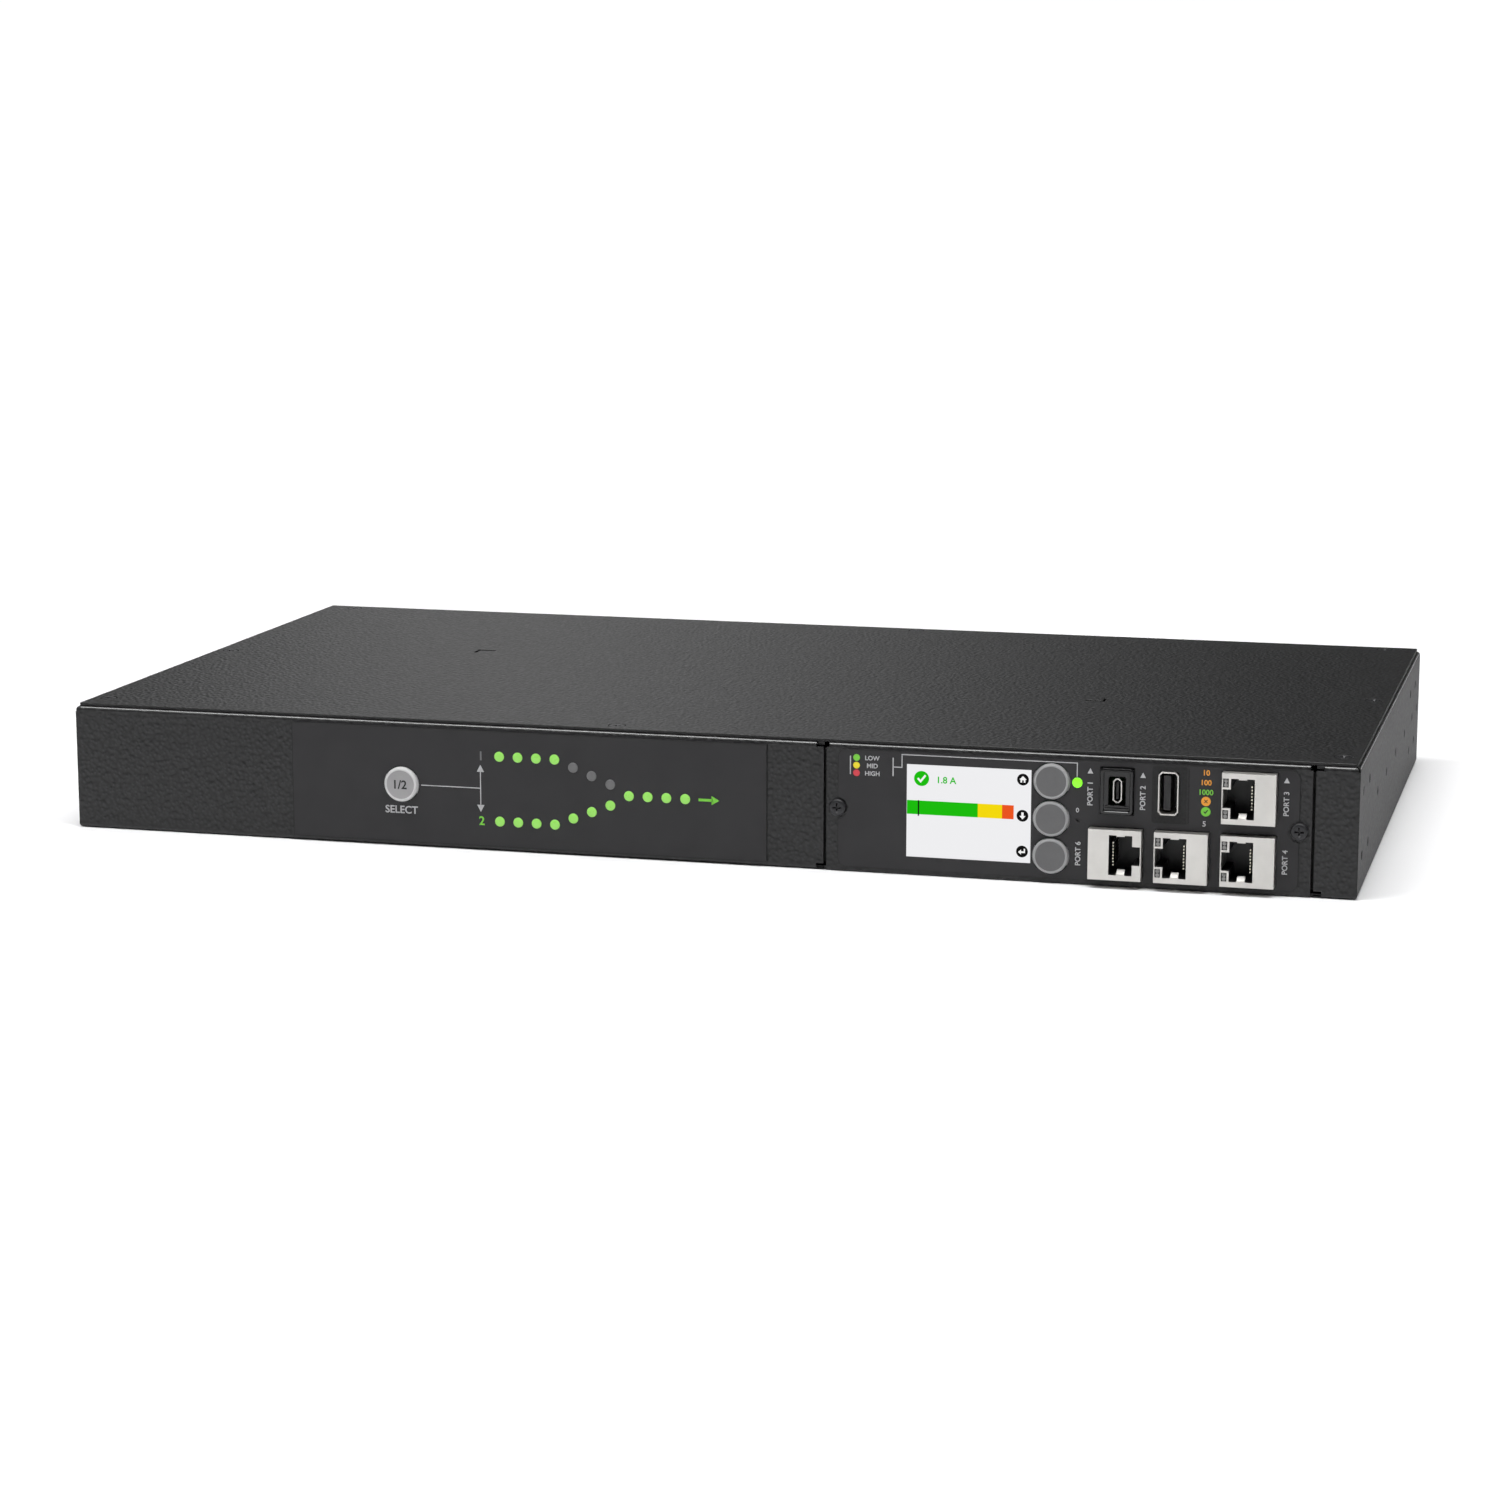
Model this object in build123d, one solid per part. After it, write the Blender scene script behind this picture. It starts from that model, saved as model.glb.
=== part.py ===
from build123d import *
from math import atan2, degrees, hypot
import os

# Rack automatic transfer switch, one rack unit high. Lengths are in millimetres.
# +X is to the right seen from the front, +Y to the back, +Z up.
# The origin is under the middle of the whole box. A depth is measured back from the front face.

# Case
WIDTH = 432.0
DEPTH = 236.0
HEIGHT = 43.0
SHEET = 1.2
COVER_SHEET = 1.0
BEND = 1.4
FLANGE = 11.0
COVER_INSET = 1.0
SEAM = 0.6
SEAM_DROP = 1.8
FILM = 0.4

# Clearances: pieces that seat in one another, and pieces that slide
FIT = 0.1
SLIDE = 0.3

# Small round features are many, so they have flat sides
CAP_SIDES = 36
SEEN_SIDES = 12
FLUSH_HEAD_SIDES = 8
HIDDEN_SIDES = 6

# Side holes: two bracket patterns and a row between them, from the front and from the back
SIDE_HOLE_R = 1.65
SIDE_ROW_RISE = 1.2
BRACKET_HOLE_Y = 20.9
BRACKET_HOLE_Z = 20.6
BRACKET_FROM_FRONT = 12.6
BRACKET_FROM_BACK = 19.5
ROW_FROM_FRONT = (65.6, 99.2, 135.4)
ROW_FROM_BACK = (63.9, 30.0, 9.2)

# Cover screws, and the two lances in the cover
SCREW_R = 1.4
SCREW_LENGTH = 5.0
SCREW_HEAD_R = 2.75
COVER_SCREW_EDGE = 6.5
COVER_SCREW_CORNER = 12.5
COVER_SCREW_OFFSET = 26.0
LANCE_X = 121.0
LANCE_Y = 25.5
LANCE_LEG = 6.5
LANCE_SLIT = 0.8

# Status panel on the left: film, lamps and button, at shares of the film's width from its left edge
FILM_WIDTH = 164.0
FILM_TO_BAY = 18.8
FILM_MARGIN = 1.6
LAMP_R = 1.7
LAMP_SHARE = 0.445
LAMP_PITCH = 6.36
LAMP_RISE = 10.9
BRANCH_RISE = 8.5
BRANCH_STEP = 2.5
LAMP_BOARD_DEPTH = 8.0
GUIDE_RIM = 0.6
BUTTON_SHARE = 0.236
BUTTON_R = 5.85
BUTTON_BEVEL = 1.0
BUTTON_PROUD = 1.3

# Controller module: bay, plate and film
BAY_FROM_SIDE = 13.6
BAY_GAP = 0.9
BAY_LIP = 7.5
BAY_LIP_MARGIN = 11.0
RELIEF_WIDTH = 2.5
RELIEF_HEIGHT = 1.6
PLATE_LIFT = 0.2
MODULE_FILM_INSET = 3.8
MODULE_FILM_CORNER = 3.0
MODULE_SCREW_HEAD_R = 2.85
MODULE_SCREW_HEAD = 1.5
MODULE_SCREW_NOTCH = 3.6

# Screen and keys
SCREEN_FROM_LEFT = 26.45
SCREEN_WIDTH = 40.35
SCREEN_HEIGHT = 30.2
SCREEN_RISE = 0.2
SCREEN_BODY = 2.2
WINDOW_RIM = 1.2
KEY_FROM_SCREEN = 6.5
KEY_PITCH = 12.05
KEY_R = 5.75
KEY_BEVEL = 0.9
KEY_PROUD = 1.0
KEY_TRAVEL = 0.5
STEM = 3.6
SWITCH = 6.2
SWITCH_HEIGHT = 3.6
STATUS_LAMP_FROM_KEY = 8.2
STATUS_LAMP_RISE = 12.0
RESET_FROM_KEY = 8.6
RESET_R = 0.6
DISPLAY_BOARD_DEPTH = 5.6

# Ports on the controller module
JACK_WIDTH = 16.85
JACK_HEIGHT = 16.2
JACK_REACH = 4.0
JACK_SHELL = 0.35
JACK_RISE = 10.0
JACK_FROM_RIGHT = 19.4
JACK_PITCH = 20.85
JACK_MOUTH_WIDTH = 7.4
JACK_MOUTH_HEIGHT = 12.9
JACK_MOUTH_OFFSET = 1.9
JACK_MOUTH_DEPTH = 12.0
JACK_LATCH_DEPTH = 2.5
JACK_LATCH_HEIGHT = 6.0
JACK_LAMP_WIDTH = 1.8
JACK_LAMP_HEIGHT = 2.8
JACK_LAMP_RISE = 5.0
JACK_TAB = 2.6
CONTACTS = 8
CONTACT_PITCH = 1.02
CONTACT_THICK = 0.4
CONTACT_STANDOFF = 1.05
CONTACT_SETBACK = 2.0
CONTROLLER_BOARD_DEPTH = 14.0
CONSOLE_FROM_KEY = 20.9
CONSOLE_BEZEL_WIDTH = 10.4
CONSOLE_BEZEL_HEIGHT = 14.8
CONSOLE_BEZEL_PROUD = 1.6
CONSOLE_MOUTH_WIDTH = 5.4
CONSOLE_MOUTH_HEIGHT = 9.2
CONSOLE_MOUTH_DEPTH = 2.6
CONSOLE_PORT_WIDTH = 2.9
CONSOLE_PORT_HEIGHT = 7.9
HOST_FROM_CONSOLE = 16.2
HOST_WIDTH = 6.4
HOST_HEIGHT = 13.8
HOST_PROUD = 0.6
HOST_CORNER = 1.0
PORT_SHELL = 0.4
PORT_BASE_DEPTH = 9.0

# Boards and spacers
BOARD = 1.6
BOARD_MARGIN = 3.0
SPACER_ACROSS = 4.5

# Back: two inlets and two banks of outlets
REAR_LIP = 2.0
INLET_FROM_SIDE = (75.0, 35.0)
INLET_FLANGE_WIDTH = 32.0
INLET_FLANGE_HEIGHT = 25.0
INLET_BODY_WIDTH = 27.6
INLET_BODY_HEIGHT = 20.0
INLET_MOUTH_WIDTH = 24.2
INLET_MOUTH_HEIGHT = 16.6
INLET_MOUTH_CUT = 5.0
INLET_MOUTH_DEPTH = 17.0
INLET_BODY_DEPTH = 20.0
PIN_WIDTH = 2.0
PIN_HEIGHT = 4.0
PIN_SPREAD = 7.0
PIN_STEP = 2.0
PIN_TAIL = 7.0
BANK_FROM_SIDE = (78.0, 198.0)
BANK_OUTLETS = 4
OUTLET_PITCH = 26.0
OUTLET_WIDTH = 20.8
OUTLET_HEIGHT = 28.4
OUTLET_CUT = 4.0
OUTLET_GROOVE = 3.0
OUTLET_DEPTH = 15.0
BANK_HEIGHT = 30.6
BANK_LIP = 1.6
BANK_DEPTH = 19.0
SLOT_LONG = 4.8
SLOT_WIDE = 2.6

# Power board and what stands on it
POWER_BOARD_FROM_SIDE = 22.0
POWER_BOARD_FROM_FRONT = 46.0
POWER_BOARD_FROM_BACK = 40.0
POWER_BOARD_LIFT = 6.0
RELAY_COUNT = 6
RELAY_SIZE = (28.0, 33.0, 26.0)
RELAY_PITCH = 46.0
TRANSFORMER_CORE = (44.0, 18.0, 28.0)
TRANSFORMER_BOBBIN = (26.0, 36.0, 22.0)
TRANSFORMER_FROM_SIDE = (96.0, 46.0)
CAPACITOR_SIZE = (27.0, 11.0, 19.0)
CAPACITOR_PITCH = 40.0
LINK_THICK = 1.0
LINK_WIDE = 5.0
BUSBAR_HIGH = 4.0
RIBBON_THICK = 0.9
RIBBON_WIDE = 26.0

# Places worked out from the sizes above
TRAY_TOP = HEIGHT - COVER_SHEET
FRONT = (JACK_REACH - REAR_LIP - DEPTH) / 2
BACK = FRONT + DEPTH
MIDDLE = TRAY_TOP / 2
SIDE_ROW_Z = MIDDLE + SIDE_ROW_RISE
RIGHT = WIDTH / 2
PORTS_WIDTH = CONSOLE_FROM_KEY + 2 * JACK_PITCH + JACK_FROM_RIGHT
MODULE_WIDTH = SCREEN_FROM_LEFT + SCREEN_WIDTH + KEY_FROM_SCREEN + PORTS_WIDTH
BAY_WIDTH = MODULE_WIDTH + 2 * BAY_GAP
BAY_RIGHT = RIGHT - BAY_FROM_SIDE
BAY_LEFT = BAY_RIGHT - BAY_WIDTH
FILM_RIGHT = BAY_LEFT - FILM_TO_BAY
FILM_LEFT = FILM_RIGHT - FILM_WIDTH
LAMP_X = FILM_LEFT + LAMP_SHARE * FILM_WIDTH
BUTTON_X = FILM_LEFT + BUTTON_SHARE * FILM_WIDTH
MODULE_LEFT = BAY_LEFT + BAY_GAP
MODULE_RIGHT = BAY_RIGHT - BAY_GAP
MODULE_FILM = (MODULE_LEFT + MODULE_FILM_INSET, MODULE_RIGHT - MODULE_FILM_INSET)
SCREEN_Z = MIDDLE + SCREEN_RISE
SCREEN_LEFT = MODULE_LEFT + SCREEN_FROM_LEFT
SCREEN_RIGHT = SCREEN_LEFT + SCREEN_WIDTH
KEY_X = SCREEN_RIGHT + KEY_FROM_SCREEN
STATUS_LAMP_X = KEY_X + STATUS_LAMP_FROM_KEY
RESET_X = KEY_X + RESET_FROM_KEY
CONSOLE_X = KEY_X + CONSOLE_FROM_KEY
JACK_X = CONSOLE_X + 2 * JACK_PITCH
HOST_X = CONSOLE_X + HOST_FROM_CONSOLE
WINDOW_LEFT = SCREEN_LEFT - WINDOW_RIM
WINDOW_RIGHT = RESET_X + 2 * WINDOW_RIM
WINDOW_HALF = KEY_PITCH + KEY_R + 2 * SLIDE
UPPER_ROW = MIDDLE + JACK_RISE
LOWER_ROW = MIDDLE - JACK_RISE
BOARD_LOW = BOARD_MARGIN + SHEET / 2
BOARD_HIGH = TRAY_TOP - BOARD_MARGIN
INLET_X = [RIGHT - x for x in INLET_FROM_SIDE]
BANK_X = [x - RIGHT for x in BANK_FROM_SIDE]
TRANSFORMER_X = [RIGHT - x for x in TRANSFORMER_FROM_SIDE]
POWER_BOARD_WIDTH = WIDTH - 2 * POWER_BOARD_FROM_SIDE
POWER_TOP = SHEET + POWER_BOARD_LIFT + BOARD
POWER_FRONT = FRONT + POWER_BOARD_FROM_FRONT
POWER_BACK = BACK - POWER_BOARD_FROM_BACK

# Jacks: place, side of the latch and whether there are lamps beside the mouth
JACKS = {
    "network": (JACK_X, UPPER_ROW, -1, True),
    "link_two": (JACK_X, LOWER_ROW, -1, True),
    "link_one": (JACK_X - JACK_PITCH, LOWER_ROW, -1, True),
    "universal": (CONSOLE_X, LOWER_ROW, 1, False),
}

# Keys beside the screen, from the top down
KEYS = {
    "key_home": MIDDLE + KEY_PITCH,
    "key_scroll": MIDDLE,
    "key_enter": MIDDLE - KEY_PITCH,
}


def box(x, y, z):
    """Box between the (low, high) limits on each axis."""
    size = Box(x[1] - x[0], y[1] - y[0], z[1] - z[0], align=(Align.MIN,) * 3)
    return Pos(x[0], y[0], z[0]) * size


def about(middle, size):
    """(low, high) limits of a size about a middle."""
    return middle - size / 2, middle + size / 2


def rect(x, z):
    """Upright rectangle between (low, high) limits in x and z."""
    return Pos(sum(x) / 2, sum(z) / 2) * Rectangle(x[1] - x[0], z[1] - z[0])


def disc(x, z, radius):
    return Pos(x, z) * Circle(radius)


def small_disc(x, z, radius, sides=SEEN_SIDES):
    return Pos(x, z) * RegularPolygon(radius, sides)


def countersink(radius, depth):
    """Head of a flush screw, or the room for one, from z = 0 down, with sides at 45 degrees."""
    return extrude(RegularPolygon(radius, FLUSH_HEAD_SIDES), -depth, taper=45)


def upright(profile, start, end):
    """Solid of an (x, z) profile between two depths behind the front face."""
    return Pos(0, FRONT + start, 0) * extrude(Plane.XZ * profile, amount=start - end)


def across(profile, low, high):
    """Solid of a (y, z) profile between two places in x."""
    return Pos(low, 0, 0) * extrude(Plane.YZ * profile, amount=high - low)


def group(solids):
    return Compound(children=list(solids))


def side_holes():
    """Holes through both side walls for rack brackets in front and rails behind, and a row on the right."""
    front = FRONT + BRACKET_FROM_FRONT
    back = BACK - BRACKET_FROM_BACK
    rows = about(SIDE_ROW_Z, BRACKET_HOLE_Z)
    bracket = [(y, z) for y in (front, front + BRACKET_HOLE_Y) for z in rows]
    rail = [(y, z) for y in (back - BRACKET_HOLE_Y, back) for z in rows]
    between = [(FRONT + y, SIDE_ROW_Z) for y in ROW_FROM_FRONT]
    between += [(BACK - y, SIDE_ROW_Z) for y in ROW_FROM_BACK]
    both = [disc(*place, SIDE_HOLE_R) for place in bracket]
    both += [small_disc(*place, SIDE_HOLE_R) for place in rail]
    right = both + [small_disc(*place, SIDE_HOLE_R) for place in between]
    holes = [across(hole, -RIGHT, SHEET - RIGHT) for hole in both]
    return holes + [across(hole, RIGHT - SHEET, RIGHT) for hole in right]


def cover_screw_places():
    """Eight (x, y) places: two on each side flange, one on the front flange and three on the back one."""
    near = FRONT + COVER_SCREW_EDGE
    far = BACK - COVER_SCREW_EDGE
    side = RIGHT - COVER_SCREW_EDGE
    corner = RIGHT - COVER_SCREW_CORNER
    middle = (FRONT + BACK) / 2
    return [
        (-side, FRONT + COVER_SCREW_CORNER),
        (-COVER_SCREW_OFFSET, near),
        (side, FRONT + COVER_SCREW_CORNER),
        (-side, middle),
        (side, middle),
        (-corner, far),
        (COVER_SCREW_OFFSET, far),
        (corner, far),
    ]


def lamp_row(first, z, count, step=0.0):
    """(x, z) places of a row of lamps from the numbered place `first`."""
    return [(LAMP_X + (first + i) * LAMP_PITCH, z + i * step) for i in range(count)]


# The lamp rows draw two sources, each with a branch that leads to the output
LAMP_ROWS = {
    "source_one_lamps": [lamp_row(0, MIDDLE + LAMP_RISE, 4)],
    "branch_one_lamps": [lamp_row(4, MIDDLE + BRANCH_RISE, 3, -BRANCH_STEP)],
    "source_two_lamps": [
        lamp_row(0, MIDDLE - LAMP_RISE, 4),
        lamp_row(4, MIDDLE - BRANCH_RISE, 3, BRANCH_STEP),
    ],
    "output_lamps": [lamp_row(7, MIDDLE, 4)],
}


def row_bar(row, rim):
    """Rectangle along a row of lamps that reaches `rim` past them."""
    (x0, z0), (x1, z1) = row[0], row[-1]
    half = LAMP_R + rim
    length = hypot(x1 - x0, z1 - z0) + 2 * half
    turn = Rot(0, 0, degrees(atan2(z1 - z0, x1 - x0)))
    return Pos((x0 + x1) / 2, (z0 + z1) / 2) * turn * Rectangle(length, 2 * half)


def jack_places():
    return [(x, z) for x, z, _, _ in JACKS.values()]


def port_cuts(clearance):
    """Profiles of the cut-outs that the jacks and ports pass through."""
    cuts = [
        rect(about(x, JACK_WIDTH + 2 * clearance), about(z, JACK_HEIGHT + 2 * clearance))
        for x, z in jack_places()
    ]
    bezel_width = CONSOLE_BEZEL_WIDTH + 2 * clearance
    bezel_height = CONSOLE_BEZEL_HEIGHT + 2 * clearance
    cuts.append(rect(about(CONSOLE_X, bezel_width), about(UPPER_ROW, bezel_height)))
    host_width = HOST_WIDTH + 2 * clearance
    host_height = HOST_HEIGHT + 2 * clearance
    cuts.append(rect(about(HOST_X, host_width), about(UPPER_ROW, host_height)))
    return cuts


def module_screw_holes():
    return [small_disc(x, MIDDLE, SCREW_R + FIT, HIDDEN_SIDES) for x in MODULE_FILM]


def chassis_tray():
    """Folded tray: floor, four walls and inward top flanges, with the module's bay at the front."""
    centre = Pos(0, (FRONT + BACK) / 2, TRAY_TOP / 2)
    shell = Box(WIDTH, DEPTH, TRAY_TOP)
    shell = fillet(shell.edges().filter_by(Axis.Z, reverse=True), BEND)
    hollow = Box(WIDTH - 2 * SHEET, DEPTH - 2 * SHEET, TRAY_TOP - 2 * SHEET)
    hollow = fillet(hollow.edges().group_by(Axis.Z)[0], BEND - SHEET)
    tray = centre * (shell - hollow)
    above = (TRAY_TOP - 2 * SHEET, TRAY_TOP + SHEET)
    inside_x = about(0, WIDTH - 2 * FLANGE)
    cuts = [box(inside_x, (FRONT + FLANGE, BACK - FLANGE), above)]
    for side in (-1, 1):
        for y, turn in ((FRONT, 45), (BACK, -45)):
            corner = Pos(side * RIGHT, y, TRAY_TOP) * Rot(0, 0, side * turn)
            cuts.append(corner * Box(SEAM, 3 * FLANGE, 2 * SEAM_DROP))
    bay = (BAY_LEFT, BAY_RIGHT)
    outside = FRONT - SHEET
    cuts.append(box(bay, (outside, FRONT + SHEET), (-SHEET, TRAY_TOP + SHEET)))
    cuts.append(box(bay, (outside, FRONT + FLANGE + SHEET), above))
    for x in (BAY_LEFT, BAY_RIGHT):
        notch = (about(x, 2 * RELIEF_WIDTH), (outside, FRONT + BEND))
        cuts.append(box(*notch, (TRAY_TOP - RELIEF_HEIGHT, TRAY_TOP + SHEET)))
        cuts.append(box(*notch, about(BEND, RELIEF_HEIGHT)))
    for rows in LAMP_ROWS.values():
        cuts += [upright(row_bar(row, GUIDE_RIM), -SHEET, 2 * SHEET) for row in rows]
    well = about(0, 2 * (BUTTON_R + SLIDE))
    cuts.append(upright(Pos(BUTTON_X, MIDDLE) * rect(well, well), -SHEET, 2 * SHEET))
    for x in INLET_X:
        hole = rect(
            about(x, INLET_BODY_WIDTH + 2 * FIT),
            about(MIDDLE, INLET_BODY_HEIGHT + 2 * FIT),
        )
        cuts.append(upright(hole, DEPTH - 2 * SHEET, DEPTH + SHEET))
    for x in BANK_X:
        hole = rect(
            about(x, BANK_OUTLETS * OUTLET_PITCH + 2 * FIT),
            about(MIDDLE, BANK_HEIGHT + 2 * FIT),
        )
        cuts.append(upright(hole, DEPTH - 2 * SHEET, DEPTH + SHEET))
    shank_hole = RegularPolygon(SCREW_R + FIT, HIDDEN_SIDES)
    for x, y in cover_screw_places():
        cuts.append(Pos(x, y, TRAY_TOP - 2 * SHEET) * extrude(shank_hole, 3 * SHEET))
    tray -= cuts + side_holes()
    lip_z = (BAY_LIP_MARGIN, TRAY_TOP - BAY_LIP_MARGIN)
    lip_y = (FRONT + SHEET, FRONT + 2 * SHEET)
    tray += box((BAY_LEFT - SHEET, BAY_LEFT + BAY_LIP), lip_y, lip_z)
    tray += box((BAY_RIGHT - BAY_LIP, BAY_RIGHT + SHEET), lip_y, lip_z)
    return tray - [upright(hole, 0, 3 * SHEET) for hole in module_screw_holes()]


def top_cover():
    """Flat sheet on the flanges, countersunk for its screws and pierced by two L-shaped lances."""
    width = WIDTH - 2 * COVER_INSET
    depth = DEPTH - 2 * COVER_INSET
    sheet = extrude(Rectangle(width, depth), COVER_SHEET)
    sheet = Pos(0, (FRONT + BACK) / 2, TRAY_TOP) * sheet
    sink = SCREW_HEAD_R + FIT
    cone = countersink(sink, COVER_SHEET)
    sheet -= [Pos(x, y, HEIGHT) * cone for x, y in cover_screw_places()]
    leg = Rectangle(LANCE_LEG, LANCE_SLIT, align=(Align.MIN, Align.MIN))
    slit = leg + Rectangle(LANCE_SLIT, LANCE_LEG, align=(Align.MIN, Align.MIN))
    slit = extrude(slit, COVER_SHEET)
    middle = Pos(0, (FRONT + BACK) / 2, TRAY_TOP)
    for turn in (0, 180):
        sheet -= middle * Rot(0, 0, turn) * Pos(-LANCE_X, LANCE_Y, 0) * Rot(0, 0, -90) * slit
    return sheet


def cover_screws():
    """Countersunk screws, flush with the cover."""
    head = countersink(SCREW_HEAD_R, COVER_SHEET)
    shank = extrude(RegularPolygon(SCREW_R, HIDDEN_SIDES), -SCREW_LENGTH)
    screw = head + shank
    return group(Pos(x, y, HEIGHT) * screw for x, y in cover_screw_places())


def status_overlay():
    """Film on the left panel with a round window for each lamp and a hole for the button."""
    film = rect((FILM_LEFT, FILM_RIGHT), (FILM_MARGIN, TRAY_TOP - FILM_MARGIN))
    for rows in LAMP_ROWS.values():
        film -= [small_disc(x, z, LAMP_R) for row in rows for x, z in row]
    film -= disc(BUTTON_X, MIDDLE, BUTTON_R + SLIDE)
    return upright(film, -FILM, 0)


def lamp_guides(rows):
    """Light guides that fill the panel's slots from the film to the lamp board."""
    return group(upright(row_bar(row, GUIDE_RIM - FIT), 0, LAMP_BOARD_DEPTH) for row in rows)


def push_button(x, z, radius, bevel, face, back, ear, switch_face):
    """Round cap with a bevelled rim, an ear that keeps it in and a square stem for its switch."""
    cap = upright(small_disc(x, z, radius, CAP_SIDES), -face, back)
    cap = chamfer(cap.edges().group_by(Axis.Y)[0], bevel)
    cap += upright(rect(about(x, 2 * ear), about(z, radius)), back, back + SHEET)
    stem_end = switch_face + KEY_TRAVEL
    return cap + upright(rect(about(x, STEM), about(z, STEM)), back + SHEET, stem_end)


def switch_body(x, z, face, board):
    """Square switch with a well for the stem, deeper than the stem's travel."""
    body = upright(rect(about(x, SWITCH), about(z, SWITCH)), face, board)
    well = rect(about(x, STEM + 2 * SLIDE), about(z, STEM + 2 * SLIDE))
    return body - upright(well, face, face + 3 * KEY_TRAVEL)


BUTTON_BACK = SHEET + FIT
BUTTON_SWITCH = LAMP_BOARD_DEPTH - SWITCH_HEIGHT
KEY_BACK = FIT
KEY_SWITCH = DISPLAY_BOARD_DEPTH - SWITCH_HEIGHT


def preference_button():
    face = FILM + BUTTON_PROUD
    ear = BUTTON_R + SLIDE + SHEET
    sizes = (BUTTON_R, BUTTON_BEVEL, face, BUTTON_BACK, ear, BUTTON_SWITCH)
    return push_button(BUTTON_X, MIDDLE, *sizes)


def key(z):
    face = FILM + KEY_PROUD
    ear = KEY_R + SLIDE + FIT
    return push_button(KEY_X, z, KEY_R, KEY_BEVEL, face, KEY_BACK, ear, KEY_SWITCH)


def spacer(x, z, start, end):
    """Hexagonal spacer along Y between two depths."""
    radius = SPACER_ACROSS / 2
    hexagon = RegularPolygon(radius, 6, major_radius=False)
    return upright(Pos(x, z) * hexagon, start, end)


def lamp_board():
    board = rect((FILM_LEFT, FILM_RIGHT), (BOARD_LOW, BOARD_HIGH))
    return upright(board, LAMP_BOARD_DEPTH, LAMP_BOARD_DEPTH + BOARD)


def lamp_board_spacers():
    columns = (FILM_LEFT + SPACER_ACROSS, FILM_RIGHT - SPACER_ACROSS)
    rows = (BOARD_LOW + SPACER_ACROSS, BOARD_HIGH - SPACER_ACROSS)
    return group(spacer(x, z, SHEET, LAMP_BOARD_DEPTH) for x in columns for z in rows)


def module_faceplate():
    """Sheet plate in the bay with its own top flange, a window behind the film and port cut-outs."""
    wide = (MODULE_LEFT, MODULE_RIGHT)
    plate = upright(rect(wide, (PLATE_LIFT, TRAY_TOP - RELIEF_HEIGHT)), 0, SHEET)
    fold_x = (MODULE_LEFT + BAY_GAP, MODULE_RIGHT - BAY_GAP)
    fold = box(fold_x, (FRONT, FRONT + SHEET), (PLATE_LIFT, TRAY_TOP))
    fold += box(fold_x, (FRONT, FRONT + FLANGE), (TRAY_TOP - SHEET, TRAY_TOP))
    top_edges = fold.edges().filter_by(Axis.X).group_by(Axis.Z)[-1]
    plate += fillet(top_edges.sort_by(Axis.Y)[0], BEND)
    window = rect((WINDOW_LEFT, WINDOW_RIGHT), about(MIDDLE, 2 * WINDOW_HALF))
    holes = [window, *port_cuts(FIT), *module_screw_holes()]
    return plate - [upright(hole, -SHEET, 2 * SHEET) for hole in holes]


def module_overlay():
    """Film on the module's plate, notched round its screws, with holes for keys, lamp, reset and ports."""
    size = (MODULE_FILM[1] - MODULE_FILM[0], TRAY_TOP - 2 * FILM_MARGIN)
    film = Pos(sum(MODULE_FILM) / 2, MIDDLE) * RectangleRounded(*size, MODULE_FILM_CORNER)
    film -= [small_disc(x, MIDDLE, MODULE_SCREW_NOTCH) for x in MODULE_FILM]
    film -= rect((SCREEN_LEFT, SCREEN_RIGHT), about(SCREEN_Z, SCREEN_HEIGHT))
    film -= [disc(KEY_X, z, KEY_R + SLIDE) for z in KEYS.values()]
    film -= small_disc(STATUS_LAMP_X, MIDDLE + STATUS_LAMP_RISE, LAMP_R)
    film -= small_disc(RESET_X, MIDDLE, RESET_R)
    film -= port_cuts(SLIDE)
    return upright(film, -FILM, 0)


def module_screws():
    """Pan-head screws through the plate into the bay's lips."""
    screws = []
    for x in MODULE_FILM:
        head = upright(small_disc(x, MIDDLE, MODULE_SCREW_HEAD_R), -MODULE_SCREW_HEAD, 0)
        head = chamfer(head.edges().group_by(Axis.Y)[0], MODULE_SCREW_HEAD / 3)
        shank = small_disc(x, MIDDLE, SCREW_R, HIDDEN_SIDES)
        screws.append(head + upright(shank, 0, SCREW_LENGTH))
    return group(screws)


def display_panel():
    """Screen: a glass that fills the film's window on a wider body behind it."""
    glass = rect(
        (SCREEN_LEFT + FIT, SCREEN_RIGHT - FIT),
        about(SCREEN_Z, SCREEN_HEIGHT - 2 * FIT),
    )
    body = rect((WINDOW_LEFT + FIT, SCREEN_RIGHT), (BOARD_LOW + FIT, BOARD_HIGH - FIT))
    return upright(glass, FIT - FILM, 0) + upright(body, 0, SCREEN_BODY)


def display_frame():
    """Moulded frame that holds the screen off the display board."""
    outline = rect((WINDOW_LEFT + FIT, SCREEN_RIGHT), (BOARD_LOW + FIT, BOARD_HIGH - FIT))
    frame = outline - offset(outline, -2 * SHEET)
    return upright(frame, SCREEN_BODY, DISPLAY_BOARD_DEPTH)


def display_board():
    board = rect((WINDOW_LEFT, WINDOW_RIGHT), (BOARD_LOW, BOARD_HIGH))
    return upright(board, DISPLAY_BOARD_DEPTH, DISPLAY_BOARD_DEPTH + BOARD)


def status_lamp():
    """Light guide from the display board to the film's round window."""
    guide = small_disc(STATUS_LAMP_X, MIDDLE + STATUS_LAMP_RISE, LAMP_R - FIT)
    return upright(guide, -FILM, DISPLAY_BOARD_DEPTH)


def reset_switch():
    """Small switch behind the pin hole."""
    side = about(0, STEM)
    body = Pos(RESET_X, MIDDLE) * rect(side, side)
    return upright(body, FILM, DISPLAY_BOARD_DEPTH)


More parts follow.
